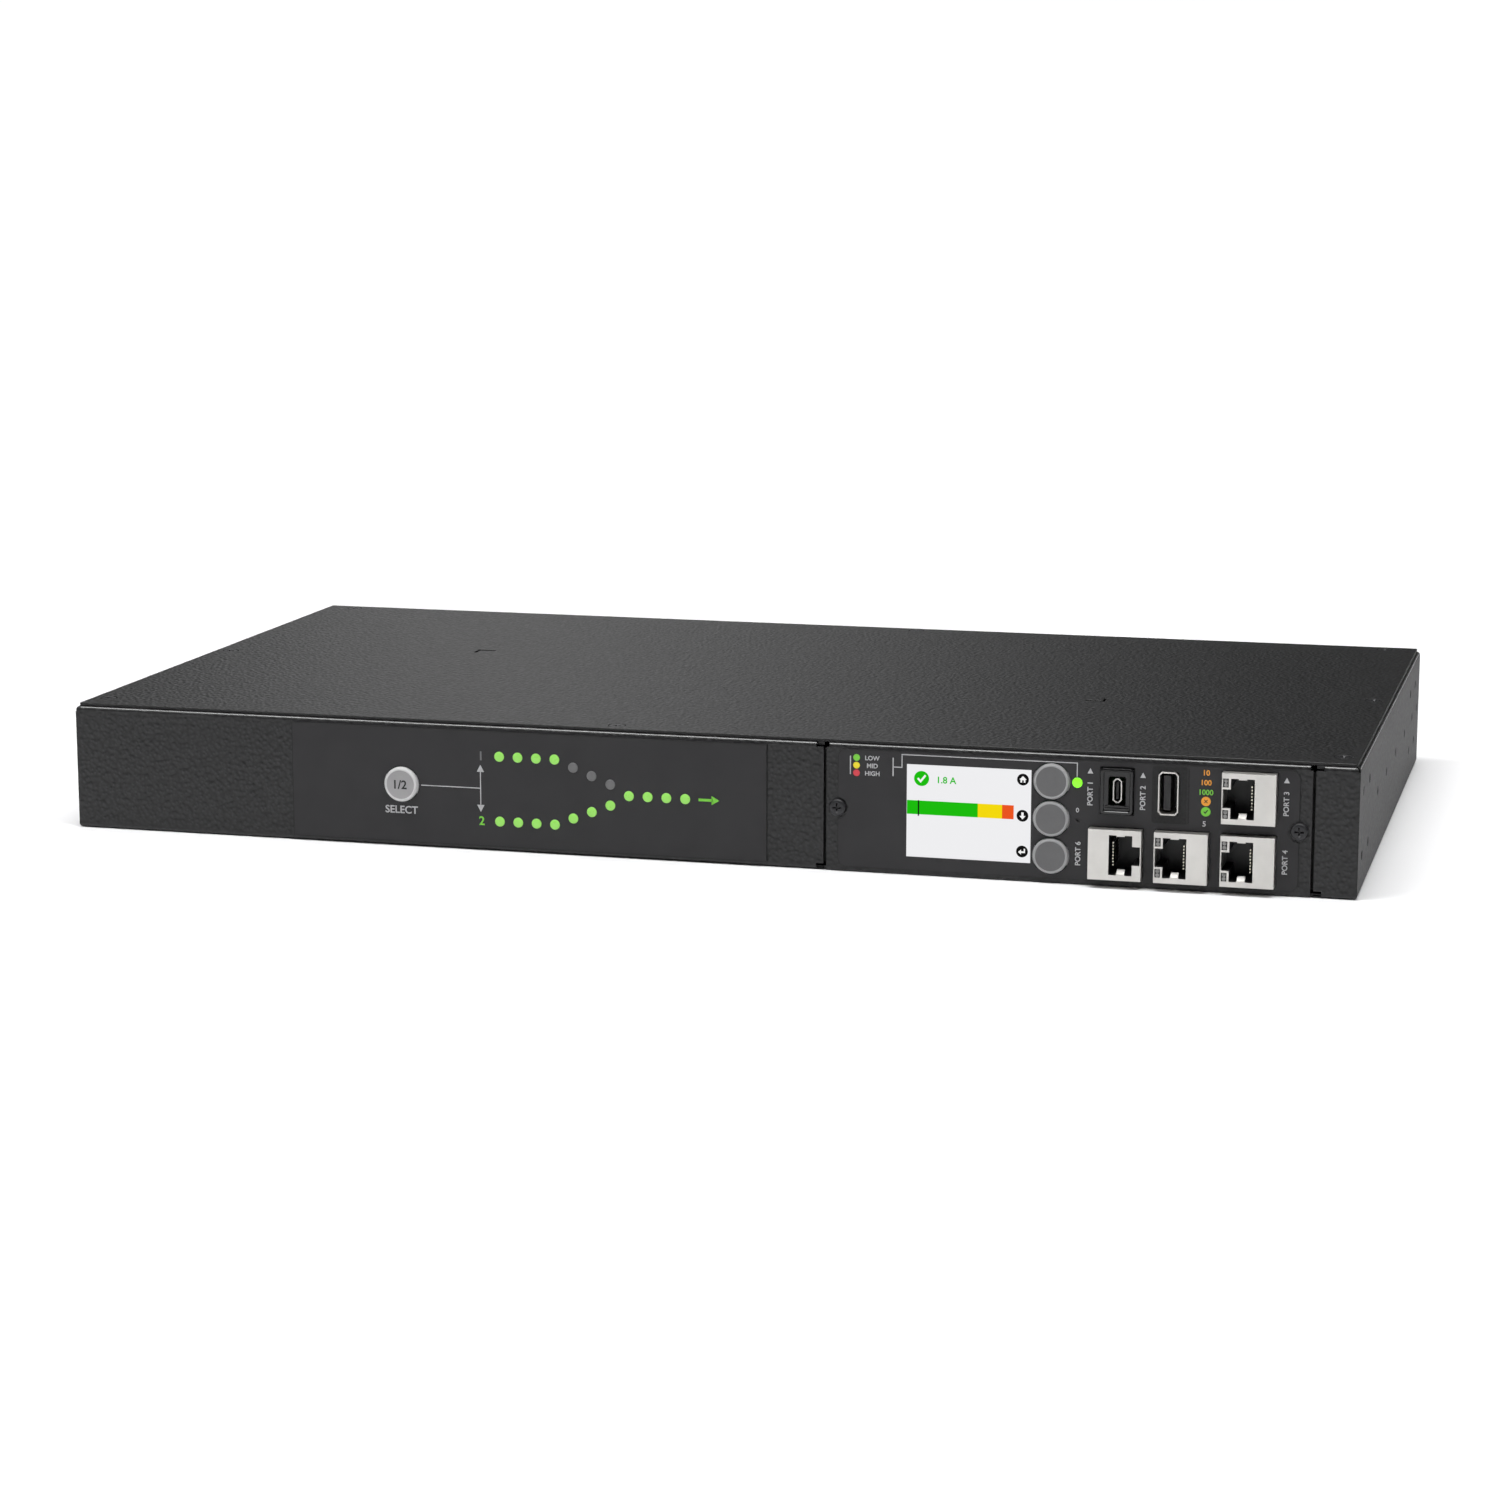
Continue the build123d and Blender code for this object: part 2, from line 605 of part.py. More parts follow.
def controller_board():
    board = rect((WINDOW_LEFT - SWITCH, MODULE_RIGHT), (BOARD_LOW, BOARD_HIGH))
    return upright(board, CONTROLLER_BOARD_DEPTH, CONTROLLER_BOARD_DEPTH + BOARD)


def board_spacers():
    """Spacers from plate to controller board and from display board to controller board."""
    rows = (BOARD_LOW + SPACER_ACROSS, BOARD_HIGH - SPACER_ACROSS)
    outer = (WINDOW_LEFT - SPACER_ACROSS, MODULE_RIGHT - SPACER_ACROSS)
    inner = (WINDOW_LEFT + SPACER_ACROSS, WINDOW_RIGHT - SPACER_ACROSS)
    back = DISPLAY_BOARD_DEPTH + BOARD
    spacers = [spacer(x, z, SHEET, CONTROLLER_BOARD_DEPTH) for x in outer for z in rows]
    spacers += [spacer(x, z, back, CONTROLLER_BOARD_DEPTH) for x in inner for z in rows]
    return group(spacers)


def console_bezel():
    """Raised moulded frame round the small port, with a deep rectangular mouth."""
    outline = Pos(CONSOLE_X, UPPER_ROW) * Rectangle(CONSOLE_BEZEL_WIDTH, CONSOLE_BEZEL_HEIGHT)
    face = FILM + CONSOLE_BEZEL_PROUD
    block = upright(outline, -face, SHEET + CONSOLE_MOUTH_DEPTH)
    front_edges = block.edges().group_by(Axis.Y)[0]
    block = chamfer(front_edges, CONSOLE_BEZEL_PROUD / 3)
    mouth = Pos(CONSOLE_X, UPPER_ROW) * Rectangle(CONSOLE_MOUTH_WIDTH, CONSOLE_MOUTH_HEIGHT)
    return block - upright(mouth, -face, SHEET + CONSOLE_MOUTH_DEPTH)


def pointed(x, z, width, height, cut):
    """Upright rectangle whose four corners are cut off."""
    return Pos(x, z) * chamfer(Rectangle(width, height).vertices(), cut)


def console_port_outline():
    cut = CONSOLE_PORT_WIDTH / 3
    return pointed(CONSOLE_X, UPPER_ROW, CONSOLE_PORT_WIDTH, CONSOLE_PORT_HEIGHT, cut)


def host_port_outline():
    return pointed(HOST_X, UPPER_ROW, HOST_WIDTH, HOST_HEIGHT, HOST_CORNER)


def port_shell(outline, start):
    """Thin shell with its corners cut, open at the front, from a depth to the board."""
    return upright(outline - offset(outline, -PORT_SHELL), start, CONTROLLER_BOARD_DEPTH)


def port_insulator(outline, tongue, start):
    """Tongue on a moulded base that fills the back of a port's shell."""
    base = offset(outline, -PORT_SHELL - FIT)
    body = upright(base, PORT_BASE_DEPTH, CONTROLLER_BOARD_DEPTH)
    return body + upright(tongue, start, PORT_BASE_DEPTH)


def console_port_tongue():
    height = CONSOLE_PORT_HEIGHT - 6 * PORT_SHELL
    tongue = rect(about(CONSOLE_X, CONSOLE_PORT_WIDTH / 4), about(UPPER_ROW, height))
    return port_insulator(console_port_outline(), tongue, FILM)


def host_port_tongue():
    height = HOST_HEIGHT - 2 * (HOST_CORNER + PORT_SHELL)
    left = HOST_X - HOST_WIDTH / 4
    tongue = rect((left, left + HOST_WIDTH / 3), about(UPPER_ROW, height))
    return port_insulator(host_port_outline(), tongue, HOST_PROUD)


def jack_mouth(x, z, latch):
    """Profile of a jack's mouth with the latch's recess on one side."""
    width = about(x + latch * JACK_MOUTH_OFFSET, JACK_MOUTH_WIDTH)
    mouth = rect(width, about(z, JACK_MOUTH_HEIGHT))
    edge = width[1] if latch > 0 else width[0]
    recess = about(edge, 2 * JACK_LATCH_DEPTH)
    return mouth + rect(recess, about(z, JACK_LATCH_HEIGHT))


def jack_lamp_windows(x, z, latch, clearance):
    """Profiles of the two lamp windows beside a jack's latch."""
    middle = x + latch * (JACK_WIDTH / 2 - JACK_SHELL - JACK_LAMP_WIDTH / 2)
    width = about(middle, JACK_LAMP_WIDTH - 2 * clearance)
    height = JACK_LAMP_HEIGHT - 2 * clearance
    return [rect(width, about(z + rise * JACK_LAMP_RISE, height)) for rise in (-1, 1)]


def jack_shell(x, z, latch, lamps):
    """Shield folded from thin sheet, open at the back, with a spring tab at the foot of its mouth."""
    outline = Pos(x, z) * Rectangle(JACK_WIDTH, JACK_HEIGHT)
    shell = upright(outline, -JACK_REACH, CONTROLLER_BOARD_DEPTH)
    inner = offset(outline, -JACK_SHELL)
    shell -= upright(inner, JACK_SHELL - JACK_REACH, CONTROLLER_BOARD_DEPTH)
    mouth = jack_mouth(x, z, latch)
    middle = x + latch * JACK_MOUTH_OFFSET
    for edge in about(z, JACK_MOUTH_HEIGHT):
        mouth -= rect(about(middle, JACK_TAB), about(edge, 2 * JACK_SHELL))
    cuts = [mouth]
    if lamps:
        cuts += jack_lamp_windows(x, z, latch, 0)
    return shell - [upright(cut, -JACK_REACH, JACK_SHELL - JACK_REACH) for cut in cuts]


def jack_insert(x, z, latch, lamps):
    """Moulded block that fills the shield, with the stepped mouth that takes the plug."""
    outline = Pos(x, z) * Rectangle(JACK_WIDTH - 2 * JACK_SHELL, JACK_HEIGHT - 2 * JACK_SHELL)
    start = JACK_SHELL - JACK_REACH
    block = upright(outline, start, CONTROLLER_BOARD_DEPTH)
    block -= upright(jack_mouth(x, z, latch), start, start + JACK_MOUTH_DEPTH)
    if lamps:
        pockets = jack_lamp_windows(x, z, latch, 0)
        block -= [upright(pocket, start, start + JACK_LAMP_HEIGHT) for pocket in pockets]
    return block


def jack_contacts():
    """Eight springs in each jack, in front of the wall across from its latch."""
    end = JACK_SHELL - JACK_REACH + JACK_MOUTH_DEPTH
    start = end - JACK_MOUTH_DEPTH + CONTACT_SETBACK
    contacts = []
    for x, z, latch, _ in JACKS.values():
        wall = x + latch * (JACK_MOUTH_OFFSET - JACK_MOUTH_WIDTH / 2)
        reach = about(wall + latch * CONTACT_STANDOFF, CONTACT_THICK)
        for i in range(CONTACTS):
            rise = z + (i - (CONTACTS - 1) / 2) * CONTACT_PITCH
            contacts.append(upright(rect(reach, about(rise, CONTACT_THICK)), start, end))
    return group(contacts)


def jack_lamps():
    """Paired lamps in the pockets beside the latches."""
    start = JACK_SHELL - JACK_REACH
    lamps = []
    for x, z, latch, lit in JACKS.values():
        if lit:
            windows = jack_lamp_windows(x, z, latch, FIT)
            lamps += [upright(window, start, start + JACK_LAMP_HEIGHT) for window in windows]
    return group(lamps)


def inlet_pin_places(x):
    """(x, z) places of the earth pin above and the two live pins below."""
    live = MIDDLE - PIN_STEP
    return [(x, MIDDLE + PIN_STEP), (x - PIN_SPREAD, live), (x + PIN_SPREAD, live)]


def inlet(x):
    """Moulded inlet: a flange outside the back wall and a body with a deep keyed mouth."""
    face = DEPTH + REAR_LIP
    flange = pointed(x, MIDDLE, INLET_FLANGE_WIDTH, INLET_FLANGE_HEIGHT, REAR_LIP)
    body = upright(flange, DEPTH, face)
    end = DEPTH - INLET_BODY_DEPTH
    body += upright(
        rect(about(x, INLET_BODY_WIDTH), about(MIDDLE, INLET_BODY_HEIGHT)), end, DEPTH
    )
    mouth = Rectangle(INLET_MOUTH_WIDTH, INLET_MOUTH_HEIGHT)
    mouth = chamfer(mouth.vertices().group_by(Axis.Y)[-1], INLET_MOUTH_CUT)
    body -= upright(Pos(x, MIDDLE) * mouth, face - INLET_MOUTH_DEPTH, face)
    slot = Rectangle(PIN_WIDTH + 2 * FIT, PIN_HEIGHT + 2 * FIT)
    return body - [upright(Pos(*place) * slot, end, DEPTH) for place in inlet_pin_places(x)]


def inlet_pins(x):
    """Three flat pins through the inlet's back wall, with tails for the links."""
    end = DEPTH - INLET_BODY_DEPTH - PIN_TAIL
    pin = Rectangle(PIN_WIDTH, PIN_HEIGHT)
    return group(upright(Pos(*place) * pin, end, DEPTH) for place in inlet_pin_places(x))


def keyed(width, height, cut):
    """Upright rectangle with its two left corners cut off."""
    outline = Rectangle(width, height)
    return chamfer(outline.vertices().group_by(Axis.X)[0], cut)


def outlet_bank(x):
    """Moulded strip of outlets: each a keyed groove round a core with three slots."""
    face = DEPTH + REAR_LIP
    wide = BANK_OUTLETS * OUTLET_PITCH
    lip = rect(about(x, wide + 2 * BANK_LIP), about(MIDDLE, BANK_HEIGHT + 2 * BANK_LIP))
    bank = upright(lip, DEPTH, face)
    body = rect(about(x, wide), about(MIDDLE, BANK_HEIGHT))
    bank += upright(body, DEPTH - BANK_DEPTH, DEPTH)
    outer = keyed(OUTLET_WIDTH, OUTLET_HEIGHT, OUTLET_CUT)
    inner_width = OUTLET_WIDTH - 2 * OUTLET_GROOVE
    inner_height = OUTLET_HEIGHT - 2 * OUTLET_GROOVE
    inner = keyed(inner_width, inner_height, OUTLET_CUT - OUTLET_GROOVE / 2)
    slot = Rectangle(SLOT_LONG, SLOT_WIDE)
    slots = [Pos(PIN_STEP, rise) * slot for rise in (-PIN_SPREAD, PIN_SPREAD)]
    cut = (outer - inner) + [Pos(-PIN_STEP, 0) * slot, *slots]
    for i in range(BANK_OUTLETS):
        place = Pos(x + (i - (BANK_OUTLETS - 1) / 2) * OUTLET_PITCH, MIDDLE)
        bank -= upright(place * cut, face - OUTLET_DEPTH, face)
    return bank


def power_board():
    return box(
        about(0, POWER_BOARD_WIDTH), (POWER_FRONT, POWER_BACK), (POWER_TOP - BOARD, POWER_TOP)
    )


def power_board_standoffs():
    """Hexagonal standoffs between the tray's floor and the power board."""
    inset = 2 * SPACER_ACROSS
    hexagon = RegularPolygon(SPACER_ACROSS / 2, 6, major_radius=False)
    standoff = extrude(hexagon, POWER_BOARD_LIFT)
    columns = (inset - POWER_BOARD_WIDTH / 2, 0, POWER_BOARD_WIDTH / 2 - inset)
    rows = (POWER_FRONT + inset, POWER_BACK - inset)
    return group(Pos(x, y, SHEET) * standoff for x in columns for y in rows)


def on_board(x, y, size):
    """Box of a given size that stands on the power board."""
    return box(about(x, size[0]), about(y, size[1]), (POWER_TOP, POWER_TOP + size[2]))


def relay_places():
    """Two rows of relays on the left of the power board."""
    columns = RELAY_COUNT // 2
    first = -POWER_BOARD_WIDTH / 2 + RELAY_PITCH
    middle = (POWER_FRONT + POWER_BACK) / 2
    return [
        (first + i * RELAY_PITCH, middle + row * RELAY_PITCH / 2)
        for row in (-1, 1)
        for i in range(columns)
    ]


def transfer_relays():
    return group(on_board(x, y, RELAY_SIZE) for x, y in relay_places())


def supply_transformers():
    """One small transformer for each source: a bobbin inside a laminated core."""
    y = (POWER_FRONT + POWER_BACK) / 2
    return group(
        on_board(x, y, TRANSFORMER_CORE) + on_board(x, y, TRANSFORMER_BOBBIN)
        for x in TRANSFORMER_X
    )


def filter_capacitors():
    """Block capacitors in a row in front of the outlets' links."""
    first = relay_places()[-1][0] + RELAY_PITCH
    y = (POWER_FRONT + POWER_BACK) / 2
    rows = (-1, 0, 1)
    return group(on_board(first, y + row * CAPACITOR_PITCH, CAPACITOR_SIZE) for row in rows)


def inlet_links(x):
    """Flat conductors from the inlet's pins down to the power board."""
    tail = BACK - INLET_BODY_DEPTH - PIN_TAIL
    near = POWER_BACK - LINK_WIDE
    links = []
    for pin_x, pin_z in inlet_pin_places(x):
        under = pin_z + PIN_HEIGHT / 2
        run = rect((near, tail + PIN_TAIL / 2), (under, under + LINK_THICK))
        foot = rect((near, near + LINK_THICK), (POWER_TOP, under + LINK_THICK))
        links.append(across(run + foot, *about(pin_x, LINK_WIDE - LINK_THICK)))
    return group(links)


def output_links():
    """Busbars along the backs of the outlet banks, each with a leg down to the power board."""
    seat = BACK - BANK_DEPTH
    near = POWER_BACK - LINK_WIDE
    bars = []
    for x in BANK_X:
        length = BANK_OUTLETS * OUTLET_PITCH - OUTLET_PITCH
        for i, rise in enumerate((-PIN_SPREAD, 0, PIN_SPREAD)):
            z = about(MIDDLE + rise, BUSBAR_HIGH)
            bar = box(about(x, length), (seat - LINK_THICK, seat), z)
            leg_x = x + (i - 1) * OUTLET_PITCH
            leg = rect((near, seat), (z[1] - LINK_THICK, z[1]))
            leg += rect((near, near + LINK_THICK), (POWER_TOP, z[1]))
            bars.append(bar + across(leg, *about(leg_x, LINK_WIDE)))
    return group(bars)


def ribbon_cable():
    """Flat cable from the power board up to the back of the controller board."""
    seat = FRONT + CONTROLLER_BOARD_DEPTH + BOARD
    run = rect((seat, POWER_FRONT + LINK_WIDE), (POWER_TOP, POWER_TOP + RIBBON_THICK))
    run += rect((seat, seat + RIBBON_THICK), (POWER_TOP, MIDDLE))
    return across(run, *about(sum(MODULE_FILM) / 2, RIBBON_WIDE))


PARTS = {
    "chassis_tray": chassis_tray(),
    "top_cover": top_cover(),
    "cover_screws": cover_screws(),
    "status_overlay": status_overlay(),
    "preference_button": preference_button(),
    "preference_switch": switch_body(BUTTON_X, MIDDLE, BUTTON_SWITCH, LAMP_BOARD_DEPTH),
    "lamp_board": lamp_board(),
    "lamp_board_spacers": lamp_board_spacers(),
    "module_faceplate": module_faceplate(),
    "module_overlay": module_overlay(),
    "module_screws": module_screws(),
    "display_panel": display_panel(),
    "display_frame": display_frame(),
    "display_board": display_board(),
    "key_switches": group(
        switch_body(KEY_X, z, KEY_SWITCH, DISPLAY_BOARD_DEPTH) for z in KEYS.values()
    ),
    "status_lamp": status_lamp(),
    "reset_switch": reset_switch(),
    "controller_board": controller_board(),
    "board_spacers": board_spacers(),
    "console_bezel": console_bezel(),
    "console_port_shell": port_shell(console_port_outline(), 0),
    "console_port_tongue": console_port_tongue(),
    "host_port_shell": port_shell(host_port_outline(), -FILM - HOST_PROUD),
    "host_port_tongue": host_port_tongue(),
    "jack_contacts": jack_contacts(),
    "jack_lamps": jack_lamps(),
    "power_board": power_board(),
    "power_board_standoffs": power_board_standoffs(),
    "transfer_relays": transfer_relays(),
    "supply_transformers": supply_transformers(),
    "filter_capacitors": filter_capacitors(),
    "output_links": output_links(),
    "ribbon_cable": ribbon_cable(),
}
PARTS |= {name: lamp_guides(rows) for name, rows in LAMP_ROWS.items()}
PARTS |= {name: key(z) for name, z in KEYS.items()}
for name, place in JACKS.items():
    PARTS[f"{name}_jack_shell"] = jack_shell(*place)
    PARTS[f"{name}_jack_insert"] = jack_insert(*place)
for word, x in zip(("one", "two"), INLET_X):
    PARTS[f"inlet_{word}"] = inlet(x)
    PARTS[f"inlet_{word}_pins"] = inlet_pins(x)
    PARTS[f"inlet_{word}_links"] = inlet_links(x)
for word, x in zip(("one", "two"), BANK_X):
    PARTS[f"outlet_bank_{word}"] = outlet_bank(x)

os.makedirs("parts", exist_ok=True)
for name, part in PARTS.items():
    export_step(part, f"parts/{name}.step")
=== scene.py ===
"""Looks of a one-unit rack transfer switch, dressed on its packed solids. Sizes are in millimetres."""

import math

import bmesh
import bpy
from bpy.props import FloatProperty, FloatVectorProperty, PointerProperty
from bpy.types import Operator, Panel, PropertyGroup, Scene
from mathutils import Euler, Matrix, Vector


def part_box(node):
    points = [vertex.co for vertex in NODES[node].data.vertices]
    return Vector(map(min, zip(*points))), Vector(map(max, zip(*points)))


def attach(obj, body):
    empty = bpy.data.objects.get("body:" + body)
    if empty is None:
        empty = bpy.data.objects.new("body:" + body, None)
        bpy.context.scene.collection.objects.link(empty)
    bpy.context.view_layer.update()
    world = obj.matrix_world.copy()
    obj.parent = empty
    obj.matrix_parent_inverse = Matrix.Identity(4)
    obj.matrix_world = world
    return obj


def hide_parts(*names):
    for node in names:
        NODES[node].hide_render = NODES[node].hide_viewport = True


bl_info = {
    "name": "Rack Transfer Switch",
    "version": (1, 0, 0),
    "blender": (4, 5, 0),
    "location": "View3D > Sidebar > Transfer Switch",
    "description": "Coat, lamps, caps, screws, screen and print of a rack transfer switch",
    "category": "Object",
}

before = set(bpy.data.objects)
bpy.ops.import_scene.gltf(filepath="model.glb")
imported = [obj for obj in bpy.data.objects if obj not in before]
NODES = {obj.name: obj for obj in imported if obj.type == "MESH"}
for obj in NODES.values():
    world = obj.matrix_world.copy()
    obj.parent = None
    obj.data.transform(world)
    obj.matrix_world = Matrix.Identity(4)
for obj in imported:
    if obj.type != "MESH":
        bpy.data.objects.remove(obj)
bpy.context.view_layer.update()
MM = 0.001

# Turns a shape drawn in x and y, with its front towards +Z, to stand upright and face the front
UPRIGHT = Matrix.Rotation(math.radians(90), 4, "X")


def corners(node):
    """Lowest and highest corner of a CAD node, in millimetres."""
    low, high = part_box(node)
    return low / MM, high / MM


def solids(node):
    """Lowest and highest corner of each separate solid of a CAD node, in millimetres, in order of place."""
    bm = bmesh.new()
    bm.from_mesh(NODES[node].data)
    bmesh.ops.remove_doubles(bm, verts=bm.verts, dist=1e-6)
    left = set(bm.verts)
    found = []
    while left:
        edge = [left.pop()]
        points = []
        while edge:
            vert = edge.pop()
            points.append(vert.co / MM)
            near = {e.other_vert(vert) for e in vert.link_edges} & left
            left -= near
            edge += near
        low = Vector([min(p[i] for p in points) for i in range(3)])
        high = Vector([max(p[i] for p in points) for i in range(3)])
        found.append((low, high))
    bm.free()
    return sorted(found, key=lambda box: tuple(round(v, 3) for v in box[0]))


TRAY_LOW, TRAY_HIGH = corners("chassis_tray")
COVER_LOW, COVER_HIGH = corners("top_cover")
STATUS_LOW, STATUS_HIGH = corners("status_overlay")
MODULE_LOW, MODULE_HIGH = corners("module_overlay")
PLATE_LOW, PLATE_HIGH = corners("module_faceplate")
BUTTON_LOW, BUTTON_HIGH = corners("preference_button")
STATUS_FACE = STATUS_LOW.y
MODULE_FACE = MODULE_LOW.y
GLASS_FACE = corners("display_panel")[0].y
FRONT = TRAY_LOW.y
MIDDLE = TRAY_HIGH.z / 2
BUTTON_X = (BUTTON_LOW.x + BUTTON_HIGH.x) / 2


def linear(red, green, blue):
    """Scene colour of a display colour given in steps of 255."""

    def channel(step):
        share = step / 255
        return share / 12.92 if share <= 0.04045 else ((share + 0.055) / 1.055) ** 2.4

    return channel(red), channel(green), channel(blue)


def length(name, description, default):
    return FloatProperty(name=name, description=description, default=default * MM, unit="LENGTH", precision=5)


def tint(name, description, red, green, blue):
    colour = linear(red, green, blue)
    return FloatVectorProperty(
        name=name, description=description, subtype="COLOR", size=3, min=0, max=1, default=colour
    )


class CoatSettings(PropertyGroup):
    """Powder coat and films."""

    coat: tint("Coat", "Colour of the powder coat", 21, 21, 22)
    film: tint("Film", "Colour of the films on the panel", 36, 35, 37)
    pebble: length("Pebble", "Width of a pebble in the coat", 1.25)
    relief: length("Relief", "Height of the coat's pebbles", 0.22)
    cover_edge: length("Cover edge", "Rounding of the cover's cut edges", 0.25)


class LampSettings(PropertyGroup):
    """Lenses in the films."""

    radius: length("Radius", "Radius of a lens", 1.68)
    status_radius: length("Status radius", "Radius of the status lens", 1.62)
    proud: length("Proud", "How far a lens stands out of the film", 0.4)
    lit: tint("Lit", "Colour of a lit lens", 132, 196, 84)
    idle: tint("Idle", "Colour of an unlit lens", 106, 106, 107)
    status: tint("Status", "Colour of the status lens", 128, 240, 40)
    clear: tint("Clear", "Colour of the small lenses beside the jacks", 140, 140, 138)


class CapSettings(PropertyGroup):
    """Push button and keys."""

    dish: length("Dish", "Depth of the dish in a cap", 0.22)
    button_rim: length("Button rim", "Width of the push button's rim", 1.05)
    key_rim: length("Key rim", "Width of a key's rim", 0.95)
    button: tint("Button", "Colour of the push button's face", 158, 157, 158)
    rim: tint("Button rim", "Colour of the push button's rim", 206, 206, 206)
    key: tint("Key", "Colour of a key's face", 100, 100, 101)
    key_edge: tint("Key rim", "Colour of a key's rim", 154, 154, 155)


class PrintSettings(PropertyGroup):
    """Ink on the films."""

    thick: length("Thickness", "Thickness of the ink", 0.03)
    rule: length("Rule", "Width of a printed line", 0.3)
    white: tint("White", "Colour of the light print", 186, 186, 188)
    grey: tint("Grey", "Colour of the dim print", 112, 112, 114)
    green: tint("Green", "Colour of the green print", 120, 205, 62)
    amber: tint("Amber", "Colour of the amber print", 240, 160, 52)


class ScreenSettings(PropertyGroup):
    """What the screen shows."""

    ground: tint("Ground", "Colour of the lit screen", 238, 238, 240)
    green: tint("Green", "Colour of the safe part of the bar", 20, 186, 0)
    yellow: tint("Yellow", "Colour of the middle part of the bar", 243, 216, 0)
    orange: tint("Orange", "Colour of the top part of the bar", 233, 82, 26)
    glow: FloatProperty(name="Glow", description="Strength of the screen's light", default=0.98, min=0)


class StageSettings(PropertyGroup):
    """Camera, floor and lights."""

    place: FloatVectorProperty(
        name="Place",
        description="Camera's place",
        subtype="TRANSLATION",
        unit="LENGTH",
        default=(0.30988, -1.20757, 0.25196),
    )
    turn: FloatVectorProperty(
        name="Turn",
        description="Camera's turn",
        subtype="EULER",
        unit="ROTATION",
        default=(1.38358, -0.00007, 0.25914),
    )
    lens: FloatProperty(name="Lens", description="Focal length in mm on a 36 mm frame", default=85.379)
    floor: tint("Floor", "Colour of the floor", 246, 246, 247)
    strip: FloatProperty(name="Strip", description="Strength of the strips of light overhead", default=14.0)
    key: FloatProperty(name="Key", description="Power of the light in front", default=4.0, unit="POWER")


SETTINGS = {
    "switch_coat": CoatSettings,
    "switch_lamps": LampSettings,
    "switch_caps": CapSettings,
    "switch_print": PrintSettings,
    "switch_screen": ScreenSettings,
    "switch_stage": StageSettings,
}


# Part of the range from 0 to 1 that noise mostly keeps to
NOISE_SPAN = (0.3, 0.7)


